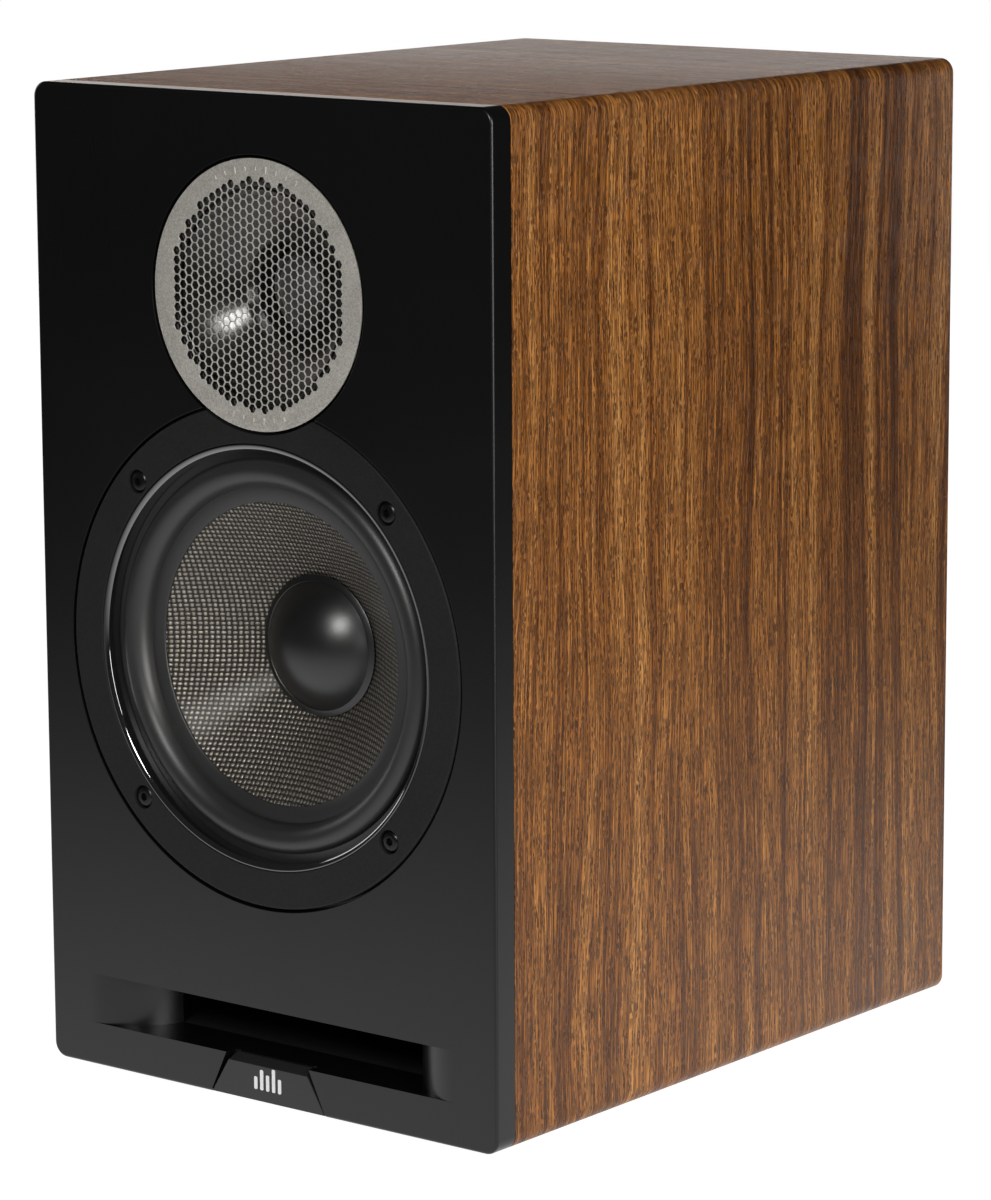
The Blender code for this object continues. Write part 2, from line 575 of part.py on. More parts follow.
def crossover():
    board_x = (INNER_X - 1.6 * MM, INNER_X)
    box("crossover_board", board_x, mm(122, 232), mm(180, 272), "board")
    base = board_x[0] - GAP
    for name, depth, z, hole, outer, thick in (
        ("woofer_inductor", 148 * MM, 246 * MM, 9 * MM, 21 * MM, 20 * MM),
        ("tweeter_inductor", 208 * MM, 254 * MM, 6 * MM, 14 * MM, 14 * MM),
    ):
        bm = bmesh.new()
        profile = [(hole, base - thick), (outer, base - thick), (outer, base), (hole, base)]
        add_round_x(bm, profile, depth, z, 32)
        from_bmesh(name, bm, "copper", smooth=True)
    can = [(0, 186), (8, 186), (9, 187), (9, 221), (8, 222), (0, 222)]
    turned("series_capacitor", can, base - 9 * MM, 204 * MM, "capacitor_wrap", steps=24)
    box("tweeter_resistor", (base - 9 * MM, base), mm(130, 178), mm(196, 205), "resistor_ceramic")
    pad = box("damping_foam", mm(-80, 80), mm(236, 258.4), mm(215, 336), "foam")
    bevelled(pad, 3 * MM)


def build():
    clear_scene()
    front_baffle()
    panels()
    rear_panel()
    badge_plate()
    foot_pads()
    woofer_frame()
    woofer_soft_parts()
    woofer_motor()
    woofer_moving_parts()
    tweeter()
    terminal_cup()
    binding_post("red", POST_X, "red_plastic")
    binding_post("black", -POST_X, "moulded_black")
    crossover()


build()
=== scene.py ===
import json
import math

import bmesh
import bpy
from mathutils import Matrix, Vector
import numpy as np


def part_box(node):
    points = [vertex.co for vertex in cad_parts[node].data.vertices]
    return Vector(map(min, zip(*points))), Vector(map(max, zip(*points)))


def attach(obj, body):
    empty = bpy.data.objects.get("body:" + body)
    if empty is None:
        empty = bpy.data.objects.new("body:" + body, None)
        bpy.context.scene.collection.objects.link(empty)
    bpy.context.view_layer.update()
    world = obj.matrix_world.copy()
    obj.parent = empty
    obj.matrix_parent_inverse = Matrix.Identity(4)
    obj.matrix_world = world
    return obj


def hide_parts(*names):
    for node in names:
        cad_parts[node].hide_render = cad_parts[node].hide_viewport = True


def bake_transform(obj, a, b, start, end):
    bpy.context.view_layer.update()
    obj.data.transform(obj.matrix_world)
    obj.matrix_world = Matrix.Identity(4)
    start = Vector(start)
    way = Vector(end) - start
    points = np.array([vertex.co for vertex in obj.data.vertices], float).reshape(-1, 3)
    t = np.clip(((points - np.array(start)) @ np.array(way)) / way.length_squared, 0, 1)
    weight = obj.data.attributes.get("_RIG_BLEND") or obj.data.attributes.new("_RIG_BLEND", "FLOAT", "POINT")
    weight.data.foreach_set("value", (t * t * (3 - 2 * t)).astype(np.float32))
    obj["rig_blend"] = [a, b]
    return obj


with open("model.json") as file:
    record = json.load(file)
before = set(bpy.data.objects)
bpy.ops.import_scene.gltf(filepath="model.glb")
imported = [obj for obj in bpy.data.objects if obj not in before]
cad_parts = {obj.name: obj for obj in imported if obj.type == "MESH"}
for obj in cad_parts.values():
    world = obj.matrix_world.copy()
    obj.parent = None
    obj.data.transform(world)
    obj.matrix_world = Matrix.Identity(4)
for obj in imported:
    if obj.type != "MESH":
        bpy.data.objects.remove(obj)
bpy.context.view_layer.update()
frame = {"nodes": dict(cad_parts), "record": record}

mm = 0.001
tau = 2 * math.pi
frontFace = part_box("front_baffle")[0].y


def middleOf(node):
    low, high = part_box(node)
    return (low + high) / 2


def behind(depth):
    return frontFace + depth * mm  # the Y of a place this many millimetres behind the front


wooferAxis = middleOf("woofer_trim_ring")
tweeterAxis = middleOf("tweeter_grille")


# small helpers for the hand tools

def deselectAll():
    if bpy.context.object and bpy.context.object.mode != "OBJECT":
        bpy.ops.object.mode_set(mode="OBJECT")
    bpy.ops.object.select_all(action="DESELECT")


def takeNew(name):
    piece = bpy.context.object
    piece.name = name
    piece.data.name = name
    bpy.ops.object.transform_apply(location=True, rotation=True, scale=True)
    return piece


def makeActive(piece):
    deselectAll()
    piece.select_set(True)
    bpy.context.view_layer.objects.active = piece


def startEdit(piece, mode="FACE", picked="DESELECT"):
    makeActive(piece)
    bpy.ops.object.mode_set(mode="EDIT")
    bpy.ops.mesh.select_mode(type=mode)
    bpy.ops.mesh.select_all(action=picked)


def endEdit():
    bpy.ops.object.mode_set(mode="OBJECT")


def pickFaces(piece, test):
    # selects the faces whose middle and normal pass the test, in edit mode
    mesh = bmesh.from_edit_mesh(piece.data)
    for face in mesh.faces:
        face.select_set(bool(test(face.calc_center_median(), face.normal)))
    bmesh.update_edit_mesh(piece.data)


def pickEdges(piece, test):
    # selects the edges whose two ends pass the test
    mesh = bmesh.from_edit_mesh(piece.data)
    found = [edge for edge in mesh.edges if test(edge.verts[0].co, edge.verts[1].co)]
    for edge in found:
        edge.select_set(True)
    bmesh.update_edit_mesh(piece.data)
    return bool(found)


def bevelEdges(piece, test, width, segments=2):
    startEdit(piece, "EDGE")
    if pickEdges(piece, test):
        bpy.ops.mesh.bevel(offset=width * mm, segments=segments, affect="EDGES", clamp_overlap=True)
    endEdit()


def bevelRim(piece, isOnRim, width, segments=2):
    # rounds the edges whose two ends both lie on the rim
    bevelEdges(piece, lambda a, b: isOnRim(a) and isOnRim(b), width, segments)


def isAlongY(a, b):
    return abs(a.x - b.x) < 1e-5 and abs(a.z - b.z) < 1e-5


def isAtDepth(point, y):
    return abs(point.y - y) < 1e-6


def reachFrom(point, axis):
    # the distance from a front-to-back axis
    return math.hypot(point.x - axis.x, point.z - axis.z)


def addCube(name, low, high):
    deselectAll()
    low, high = Vector(low), Vector(high)
    bpy.ops.mesh.primitive_cube_add(size=1, location=(low + high) / 2, scale=high - low)
    return takeNew(name)


def addBlock(name, place, halfX, halfZ, fromY, toY):
    # a block centred on a place, its half sizes in millimetres
    return addCube(name, (place.x - halfX * mm, fromY, place.z - halfZ * mm),
                   (place.x + halfX * mm, toY, place.z + halfZ * mm))


def addRound(name, radius, fromDepth, toDepth, place, sides=32):
    # a short cylinder along the front-to-back axis
    deselectAll()
    middle = (place.x, behind((fromDepth + toDepth) / 2), place.z)
    bpy.ops.mesh.primitive_cylinder_add(vertices=sides, radius=radius * mm, depth=(toDepth - fromDepth) * mm,
                                        location=middle, rotation=(math.pi / 2, 0, 0))
    return takeNew(name)


def applyModifier(piece, kind, **settings):
    makeActive(piece)
    modifier = piece.modifiers.new(kind.lower(), kind)
    for key, value in settings.items():
        setattr(modifier, key, value)
    bpy.ops.object.modifier_apply(modifier=modifier.name)


def cutWith(piece, *cutters, operation="DIFFERENCE"):
    for cutter in cutters:
        applyModifier(piece, "BOOLEAN", operation=operation, solver="EXACT", object=cutter)
        bpy.data.objects.remove(cutter, do_unlink=True)
    return piece


def traceLine(name, points, closed=True):
    # one vertex is extruded from point to point, and the line is left selected in edit mode
    deselectAll()
    bpy.ops.mesh.primitive_plane_add(size=mm, location=points[0])
    piece = takeNew(name)
    startEdit(piece, "VERT", "SELECT")
    bpy.ops.mesh.merge(type="CENTER")
    for here, there in zip(points, points[1:] + (points[:1] if closed else [])):
        bpy.ops.mesh.extrude_vertices_move(TRANSFORM_OT_translate={"value": there - here})
    bpy.ops.mesh.select_all(action="SELECT")
    return piece


def closeUp():
    bpy.ops.mesh.select_all(action="SELECT")
    bpy.ops.mesh.remove_doubles(threshold=2e-6)
    bpy.ops.mesh.normals_make_consistent(inside=False)
    endEdit()


def spinPiece(name, profile, place, steps=128, closed=True):
    # a (radius, depth) outline is spun about the front-to-back axis through the place
    points = [Vector((place.x + r * mm, behind(d), place.z)) for r, d in profile]
    piece = traceLine(name, points, closed)
    bpy.ops.mesh.spin(steps=steps, angle=tau, center=(place.x, 0, place.z), axis=(0, 1, 0))
    closeUp()
    return piece


def extrudeOutline(name, points, shift):
    # a filled outline, extruded by the shift
    piece = traceLine(name, [Vector(point) for point in points])
    bpy.ops.mesh.remove_doubles(threshold=2e-6)
    bpy.ops.mesh.select_all(action="SELECT")
    bpy.ops.mesh.edge_face_add()
    bpy.ops.mesh.extrude_region_move(TRANSFORM_OT_translate={"value": shift})
    closeUp()
    return piece


def steppedHole(top, wide, step, narrow, bottom):
    # the (radius, depth) outline of a cutter for a counterbored hole
    return [(0, top), (wide, top), (wide, step), (narrow, step), (narrow, bottom), (0, bottom)]


def smoothed(piece, angle=30, weighted=False):
    makeActive(piece)
    bpy.ops.object.shade_smooth_by_angle(angle=math.radians(angle))
    if weighted:
        applyModifier(piece, "WEIGHTED_NORMAL", keep_sharp=True, weight=50)
    return piece


def joined(name, pieces):
    deselectAll()
    for piece in pieces:
        piece.select_set(True)
    bpy.context.view_layer.objects.active = pieces[0]
    bpy.ops.object.join()
    pieces[0].name = name
    pieces[0].data.name = name
    return pieces[0]


def copied(piece, name, change):
    # a copy with a mesh of its own, moved or turned by the change
    other = piece.copy()
    other.data = piece.data.copy()
    other.name = name
    bpy.context.scene.collection.objects.link(other)
    other.data.transform(change)
    return other


def copyMoved(piece, name, shift):
    return copied(piece, name, Matrix.Translation(shift))


def copyTurned(piece, name, angle, place):
    # a copy turned about the front-to-back axis through the place
    there = Matrix.Translation((place.x, 0, place.z))
    return copied(piece, name, there @ Matrix.Rotation(angle, 4, "Y") @ there.inverted())


def turnedFrom(place, turn, reach):
    # the place that lies this many millimetres from another, at a turn about the front-to-back axis
    return place + Vector((math.cos(turn), 0, math.sin(turn))) * reach * mm


def curved(start, end, steps, path):
    return [path(start + (end - start) * i / steps) for i in range(steps + 1)]


def roundTo(centre, radius, start, end, steps=4):
    # (radius, depth) points of a fillet, its angles in degrees from outwards towards the back
    def point(angle):
        a = math.radians(angle)
        return (centre[0] + radius * math.cos(a), centre[1] + radius * math.sin(a))
    return curved(start, end, steps, point)


def dressPiece(piece, material, slot, *replaced):
    piece.data.materials.clear()
    piece.data.materials.append(material)
    if replaced:
        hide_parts(*replaced)
    return piece


def finishPiece(piece, material, body, slot, *replaced):
    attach(piece, body)
    return dressPiece(piece, material, slot, *replaced)


# shader helpers and shared groups

def feed(tree, node, sockets):
    # each named input is linked when it is given a socket, and set when it is given a value
    for key, value in sockets.items():
        if isinstance(value, bpy.types.NodeSocket):
            tree.links.new(value, node.inputs[key])
        else:
            node.inputs[key].default_value = value
    return node


def addNode(tree, kind, sockets=None, **settings):
    made = tree.nodes.new("ShaderNode" + kind)
    for key, value in settings.items():
        setattr(made, key, value)
    return feed(tree, made, sockets or {})


def calc(tree, operation, *values):
    return addNode(tree, "Math", dict(enumerate(values)), operation=operation).outputs[0]


def spread(tree, value, low, high, fromLow=0.0, fromHigh=1.0):
    sockets = {"Value": value, "From Min": fromLow, "From Max": fromHigh, "To Min": low, "To Max": high}
    return addNode(tree, "MapRange", sockets).outputs[0]


def mixColours(tree, factor, first, second):
    return addNode(tree, "Mix", {0: factor, 6: first, 7: second}, data_type="RGBA").outputs[2]


def colourRamp(tree, factor, stops):
    made = addNode(tree, "ValToRGB", {"Fac": factor})
    ramp = made.color_ramp
    while len(ramp.elements) < len(stops):
        ramp.elements.new(0.5)
    for element, (place, colour) in zip(ramp.elements, stops):
        element.position = place
        element.color = (*colour, 1)
    return made.outputs["Color"]


def newGroup(name, inputs, outputs):
    group = bpy.data.node_groups.new(name, "ShaderNodeTree")
    for label, kind, value in inputs:
        socket = group.interface.new_socket(name=label, in_out="INPUT", socket_type=kind)
        if value is not None:
            socket.default_value = value
    for label in outputs:
        group.interface.new_socket(name=label, in_out="OUTPUT", socket_type="NodeSocketFloat")
    return group, group.nodes.new("NodeGroupInput"), group.nodes.new("NodeGroupOutput")


def useGroup(tree, group, sockets):
    return addNode(tree, "Group", sockets, node_tree=group)


def makeSurfaceGrain():
    # fine speckle of paint or moulding, and broad handling smudges
    kinds = [("Vector", "NodeSocketVector", None), ("Grain", "NodeSocketFloat", 2000.0),
             ("Smudge", "NodeSocketFloat", 12.0)]
    group, start, end = newGroup("surfaceGrain", kinds, ["Grain", "Smudge"])
    fine = addNode(group, "TexNoise", {"Vector": start.outputs["Vector"], "Scale": start.outputs["Grain"],
                                       "Detail": 3.0, "Roughness": 0.6})
    broad = addNode(group, "TexNoise", {"Vector": start.outputs["Vector"], "Scale": start.outputs["Smudge"],
                                        "Detail": 5.0, "Roughness": 0.55, "Distortion": 0.6})
    group.links.new(fine.outputs["Fac"], end.inputs["Grain"])
    group.links.new(broad.outputs["Fac"], end.inputs["Smudge"])
    return group


def makeClothWeave():
    # a plain weave: Across and Up count threads, and Thread is the height of the upper one
    kinds = [(label, "NodeSocketFloat", 0.0) for label in ("Across", "Up", "Width")]
    group, start, end = newGroup("clothWeave", kinds, ["Thread"])
    heights = []
    for here, along, sign in (("Across", "Up", 0.5), ("Up", "Across", -0.5)):
        place = start.outputs[here]
        off = calc(group, "SUBTRACT", calc(group, "FRACT", place), 0.5)
        ratio = calc(group, "DIVIDE", off, start.outputs["Width"])
        left = calc(group, "SUBTRACT", 1.0, calc(group, "MULTIPLY", ratio, ratio))
        crown = calc(group, "MAXIMUM", left, 0.0)
        lane = calc(group, "FLOOR", place)
        turn = calc(group, "ADD", calc(group, "SUBTRACT", start.outputs[along], 0.5), lane)
        wave = calc(group, "COSINE", calc(group, "MULTIPLY", turn, math.pi))
        wave = calc(group, "MULTIPLY_ADD", wave, sign, 0.5)
        heights.append(calc(group, "MULTIPLY", calc(group, "POWER", crown, 0.6), wave))
    group.links.new(calc(group, "MAXIMUM", *heights), end.inputs["Thread"])
    return group


def makeWireTurns():
    # ridges of wire laid side by side; Along counts turns
    group, start, end = newGroup("wireTurns", [("Along", "NodeSocketFloat", 0.0)], ["Ridge"])
    off = calc(group, "MULTIPLY_ADD", calc(group, "FRACT", start.outputs["Along"]), 2.0, -1.0)
    left = calc(group, "SUBTRACT", 1.0, calc(group, "MULTIPLY", off, off))
    group.links.new(calc(group, "SQRT", calc(group, "MAXIMUM", left, 0.0)), end.inputs["Ridge"])
    return group


surfaceGrain = makeSurfaceGrain()
clothWeave = makeClothWeave()
wireTurns = makeWireTurns()


def startMaterial(name, output="Object"):
    material = bpy.data.materials.new(name)
    material.use_nodes = True
    tree = material.node_tree
    return material, tree, tree.nodes["Principled BSDF"], addNode(tree, "TexCoord").outputs[output]


def axesOf(tree, place):
    return addNode(tree, "SeparateXYZ", {"Vector": place}).outputs


def addGrain(tree, place, grain, smudge):
    effect = useGroup(tree, surfaceGrain, {"Vector": place, "Grain": float(grain), "Smudge": float(smudge)})
    return effect.outputs["Grain"], effect.outputs["Smudge"]


def addNoise(tree, place, scale, detail):
    return addNode(tree, "TexNoise", {"Vector": place, "Scale": scale, "Detail": detail}).outputs["Fac"]


def addBump(tree, height, distance, strength=1.0):
    sockets = {"Height": height, "Distance": distance, "Strength": strength}
    return addNode(tree, "Bump", sockets).outputs["Normal"]


def grey(value):
    return (value, value, value)


grainedLooks = {
    # light and dark colour, roughness, grain, smudge, bump
    "satinLacquer": ((0.0036, 0.0036, 0.0038), (0.0026, 0.0026, 0.0028), (0.26, 0.31), 1500, 9, 0.000004),
    "castFrame": (grey(0.020), grey(0.008), (0.46, 0.56), 2300, 18, 0.00005),
    "polishedRing": ((0.010, 0.010, 0.011), (0.006, 0.006, 0.007), (0.06, 0.11), 500, 20, 0.000002),
    "blackOxide": ((0.045, 0.045, 0.048), (0.02, 0.02, 0.022), (0.24, 0.36), 2200, 120, 0.00001),
    "satinRubber": (grey(0.020), grey(0.013), (0.36, 0.43), 1600, 26, 0.00002),
    "openFoam": ((0.085, 0.085, 0.09), (0.02, 0.02, 0.022), (0.9, 0.98), 700, 40, 0.0006),
    "ferrite": ((0.055, 0.055, 0.06), (0.028, 0.028, 0.03), (0.45, 0.6), 900, 35, 0.00005),
    "polyimideFilm": ((0.56, 0.26, 0.04), (0.42, 0.17, 0.02), (0.25, 0.4), 400, 30, 0.00001),
    "champagnePaint": ((0.82, 0.785, 0.72), (0.34, 0.325, 0.295), (0.40, 0.48), 1900, 70, 0.00010),
    "mouldedBlack": ((0.014, 0.014, 0.015), (0.008, 0.008, 0.009), (0.34, 0.44), 2000, 22, 0.00002),
    "goldPlate": ((0.88, 0.66, 0.28), (0.78, 0.54, 0.2), (0.14, 0.24), 1200, 60, 0.000006),
    "redPlastic": ((0.50, 0.012, 0.012), (0.36, 0.006, 0.006), (0.26, 0.36), 1500, 40, 0.000015),
    "resistorCement": ((0.78, 0.77, 0.73), (0.6, 0.59, 0.56), (0.75, 0.9), 700, 50, 0.0001),
    "capFinish": (grey(0.009), grey(0.005), (0.29, 0.35), 2300, 30, 0.00003),
    "guideSatin": ((0.010, 0.010, 0.011), (0.006, 0.006, 0.007), (0.17, 0.21), 1500, 30, 0.00001),
    "brightPrint": (grey(0.80), grey(0.66), (0.3, 0.4), 1500, 30, 0.00001),
}
extraSockets = {"metallic": "Metallic", "specular": "Specular IOR Level", "coat": "Coat Weight",
                "coatRoughness": "Coat Roughness", "coatIndex": "Coat IOR"}


def grainedFinish(name, **extra):
    # a moulded or painted finish: colour and roughness drift with the smudges, and the grain gives the tooth
    light, dark, roughness, grain, smudge, bump = grainedLooks[name]
    material, tree, shader, place = startMaterial(name)
    fine, broad = addGrain(tree, place, grain, smudge)
    speckle = spread(tree, fine, 0.0, 1.0, 0.32, 0.68)
    tone = calc(tree, "MULTIPLY_ADD", speckle, 0.6, calc(tree, "MULTIPLY", broad, 0.4))
    feed(tree, shader, {
        "Base Color": mixColours(tree, tone, (*dark, 1), (*light, 1)),
        "Roughness": spread(tree, broad, *roughness, 0.3, 0.7),
        "Normal": addBump(tree, fine, bump),
    })
    feed(tree, shader, {extraSockets[key]: value for key, value in extra.items()})
    return material


def makeWalnut():
    # the grain runs along V of the wrap's own map, whose units are metres
    look = walnutLook
    material, tree, shader, place = startMaterial("walnutWrap", "UV")
    split = axesOf(tree, place)
    bent = split["X"]

    def stretched(layer):
        acrossScale, alongScale, detail, roughness, shift = look[layer]
        across, along = calc(tree, "MULTIPLY", bent, acrossScale), calc(tree, "MULTIPLY", split["Y"], alongScale)
        vector = addNode(tree, "CombineXYZ", {"X": across, "Y": along, "Z": shift}).outputs[0]
        return addNode(tree, "TexNoise", {"Vector": vector, "Scale": 1.0, "Detail": detail,
                                          "Roughness": roughness}).outputs["Fac"]

    wander, ripple = stretched("wander"), stretched("ripple")
    bent = calc(tree, "ADD", calc(tree, "MULTIPLY_ADD", wander, look["wanderReach"], split["X"]),
                calc(tree, "MULTIPLY", ripple, look["rippleReach"]))
    streaks, fibres = stretched("streaks"), stretched("fibres")
    figure = calc(tree, "ADD", calc(tree, "MULTIPLY_ADD", stretched("bands"), 0.68, -0.13),
                  calc(tree, "MULTIPLY", streaks, 0.58))
    tone = calc(tree, "MULTIPLY_ADD", calc(tree, "SUBTRACT", fibres, 0.5), 0.45, figure)
    low, high = look["poreEdge"]
    dashes = calc(tree, "MULTIPLY", spread(tree, stretched("pores"), 0.0, 1.0, low, high),
                  spread(tree, stretched("breaks"), 0.1, 1.0, *look["breakEdge"]))
    lines = spread(tree, stretched("longPores"), 0.0, 0.6, low + 0.02, high + 0.03)
    poreMask = calc(tree, "MAXIMUM", dashes, lines)
    stain = calc(tree, "MULTIPLY", poreMask, look["stain"])
    height = calc(tree, "SUBTRACT", calc(tree, "MULTIPLY", fibres, 0.35), poreMask)
    feed(tree, shader, {
        "Base Color": mixColours(tree, stain, colourRamp(tree, tone, look["stops"]), (*look["pore"], 1)),
        "Roughness": spread(tree, streaks, *look["roughness"], 0.3, 0.7),
        "Normal": addBump(tree, height, look["relief"], 0.8),
        "Specular IOR Level": 0.32,
    })
    return material


walnutLook = {
    # each layer of figure: repeats a metre across, repeats a metre along, detail, roughness, shift
    "wander": (7.0, 3.0, 2.0, 0.55, 0.0),
    "ripple": (14.0, 7.0, 2.0, 0.55, 3.0),
    "bands": (90.0, 1.6, 3.0, 0.6, 7.0),
    "streaks": (380.0, 4.0, 4.0, 0.65, 11.0),
    "fibres": (2200.0, 24.0, 2.0, 0.6, 17.0),
    "pores": (2300.0, 75.0, 1.0, 0.5, 23.0),
    "breaks": (1500.0, 380.0, 1.0, 0.5, 29.0),
    "longPores": (1500.0, 40.0, 1.0, 0.5, 31.0),
    "wanderReach": 0.030,
    "rippleReach": 0.0030,
    "stops": [(0.32, (0.075, 0.023, 0.004)), (0.43, (0.185, 0.060, 0.009)), (0.50, (0.330, 0.118, 0.021)),
              (0.57, (0.450, 0.180, 0.038)), (0.70, (0.620, 0.290, 0.085))],
    "pore": (0.036, 0.011, 0.002),
    "poreEdge": (0.46, 0.53),
    "breakEdge": (0.41, 0.50),
    "stain": 0.86,
    "roughness": (0.30, 0.40),
    "relief": 0.00045,
}


def makeConeCloth():
    look = coneLook
    material, tree, shader, place = startMaterial("wovenConeCloth")
    split = axesOf(tree, place)
    sway = calc(tree, "MULTIPLY", addNoise(tree, place, 60.0, 2.0), look["sway"])
    across = calc(tree, "MULTIPLY_ADD", split["X"], 1 / look["thread"], sway)
    up = calc(tree, "MULTIPLY_ADD", split["Z"], 1 / look["thread"], sway)
    thread = useGroup(tree, clothWeave, {"Across": across, "Up": up, "Width": 0.44}).outputs["Thread"]
    raised = spread(tree, thread, 0.0, 1.0, *look["raised"])
    patches = spread(tree, addNoise(tree, place, 700.0, 1.0), 0.55, 1.0, 0.35, 0.65)
    lit = calc(tree, "MULTIPLY", raised, patches)
    height = calc(tree, "MULTIPLY_ADD", addNoise(tree, place, 2600.0, 2.0), 0.12, thread)
    feed(tree, shader, {
        "Base Color": mixColours(tree, lit, (*look["gap"], 1), (*look["crest"], 1)),
        "Roughness": spread(tree, raised, 0.6, 0.33),
        "Metallic": spread(tree, raised, 0.0, look["metal"]),
        "Normal": addBump(tree, height, look["relief"]),
        "Coat Weight": 0.12,
        "Coat Roughness": 0.22,
    })
    return material


coneLook = {"thread": 1.68 * mm, "sway": 0.35, "raised": (0.52, 0.98), "metal": 0.85, "relief": 0.0006,
            "gap": (0.011, 0.008, 0.006), "crest": (0.42, 0.385, 0.32)}


clothLooks = {
    # thread spacing, colour of the gaps and of the threads, roughness, relief, sheen
    "spiderCloth": (0.9 * mm, (0.30, 0.17, 0.04), (0.74, 0.5, 0.18), (0.8, 0.55), 0.0002, 0.3),
    "domeCloth": (0.35 * mm, (0.02, 0.02, 0.022), (0.07, 0.07, 0.075), (0.6, 0.42), 0.00005, 0.2),
}


def makeThreadCloth(name):
    thread, gap, crest, roughness, relief, sheen = clothLooks[name]
    material, tree, shader, place = startMaterial(name)
    split = axesOf(tree, place)
    across, up = calc(tree, "DIVIDE", split["X"], thread), calc(tree, "DIVIDE", split["Z"], thread)
    height = useGroup(tree, clothWeave, {"Across": across, "Up": up, "Width": 0.48}).outputs["Thread"]
    feed(tree, shader, {
        "Base Color": mixColours(tree, height, (*gap, 1), (*crest, 1)),
        "Roughness": spread(tree, height, *roughness),
        "Normal": addBump(tree, height, relief),
        "Sheen Weight": sheen,
    })
    return material


wireLooks = {
    # the coil's axis, wire spacing, colour
    "coilWire": ("Y", 0.32 * mm, (0.78, 0.34, 0.15, 1)),
    "inductorWire": ("X", 1.1 * mm, (0.76, 0.33, 0.14, 1)),
}


def makeWire(name):
    # enamelled wire wound side by side, its turns counted along the coil's axis
    axis, pitch, colour = wireLooks[name]
    material, tree, shader, place = startMaterial(name)
    turns = calc(tree, "DIVIDE", axesOf(tree, place)[axis], pitch)
    ridge = useGroup(tree, wireTurns, {"Along": turns}).outputs["Ridge"]
    feed(tree, shader, {
        "Base Color": mixColours(tree, spread(tree, ridge, 0.35, 1.0), (0.12, 0.035, 0.012, 1), colour),
        "Roughness": spread(tree, ridge, 0.5, 0.24),
        "Metallic": 1.0,
        "Normal": addBump(tree, ridge, pitch * 0.4),
        "Coat Weight": 0.5,
        "Coat Roughness": 0.15,
    })
    return material


boardLook = {"fibre": ((0.30, 0.20, 0.115, 1), (0.50, 0.365, 0.235, 1)), "fleck": (0.22, 0.14, 0.08, 1),
             "paint": (0.006, 0.006, 0.006, 1), "rearEdge": 3.0 * mm}


def makeFibreboard():
    # bare board, sprayed black where it lines the port and at its rear edges
    material, tree, shader, place = startMaterial("fibreboard")
    split = axesOf(tree, place)
    fine, broad = addGrain(tree, place, 900, 60)
    flecks = addNode(tree, "TexVoronoi", {"Vector": place, "Scale": 700.0}).outputs["Distance"]
    board = mixColours(tree, fine, *boardLook["fibre"])
    board = mixColours(tree, spread(tree, flecks, 0.5, 0.0, 0.0, 0.4), board, boardLook["fleck"])
    low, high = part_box("bottom_panel")[1].z - 0.1 * mm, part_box("port_shelf")[0].z + 0.1 * mm
    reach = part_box("right_panel")[0].x + 0.1 * mm
    painted = calc(tree, "LESS_THAN", calc(tree, "ABSOLUTE", split["X"]), reach)
    for test, value, limit in (("GREATER_THAN", split["Z"], low), ("LESS_THAN", split["Z"], high),
                               ("LESS_THAN", split["Y"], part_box("port_shelf")[1].y - mm)):
        painted = calc(tree, "MULTIPLY", painted, calc(tree, test, value, limit))
    rear = calc(tree, "GREATER_THAN", split["Y"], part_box("right_panel")[1].y - boardLook["rearEdge"])
    painted = calc(tree, "MAXIMUM", painted, rear)
    feed(tree, shader, {
        "Base Color": mixColours(tree, painted, board, boardLook["paint"]),
        "Roughness": spread(tree, painted, 0.88, 0.6),
        "Normal": addBump(tree, fine, 0.00012),
    })
    return material


steelLook = {"colour": (0.62, 0.62, 0.64), "darker": 0.8, "roughness": (0.22, 0.42)}


def makeSteel():
    # zinc-plated steel turned on a lathe: fine rings round the axis, over a mottled plate
    colour, darker = steelLook["colour"], steelLook["darker"]
    material, tree, shader, place = startMaterial("zincPlate")
    fine, broad = addGrain(tree, place, 1200, 45)
    rings = addNode(tree, "TexWave", {"Vector": place, "Scale": 900.0, "Distortion": 0.4},
                    wave_type="RINGS", rings_direction="Y").outputs["Fac"]
    feed(tree, shader, {
        "Base Color": mixColours(tree, broad, (*[c * darker for c in colour], 1), (*colour, 1)),
        "Roughness": spread(tree, broad, *steelLook["roughness"], 0.3, 0.7),
        "Metallic": 1.0,
        "Normal": addBump(tree, calc(tree, "MULTIPLY_ADD", rings, 0.6, fine), 0.00001),
    })
    return material


def makeBoard():
    # green board with paler tracks, laid on a small grid
    material, tree, shader, place = startMaterial("circuitBoard")
    laid = addNode(tree, "Mapping", {"Vector": place, "Rotation": (0.0, math.pi / 2, 0.0)}).outputs[0]
    bricks = addNode(tree, "TexBrick", {
        "Vector": laid, "Scale": 60.0, "Mortar Size": 0.06, "Color1": (0.02, 0.13, 0.05, 1),
        "Color2": (0.03, 0.17, 0.07, 1), "Mortar": (0.05, 0.26, 0.11, 1)})
    fine, broad = addGrain(tree, place, 800, 30)
    feed(tree, shader, {
        "Base Color": bricks.outputs["Color"],
        "Roughness": spread(tree, broad, 0.3, 0.5, 0.3, 0.7),
        "Normal": addBump(tree, bricks.outputs["Fac"], 0.00004),
    })
    return material


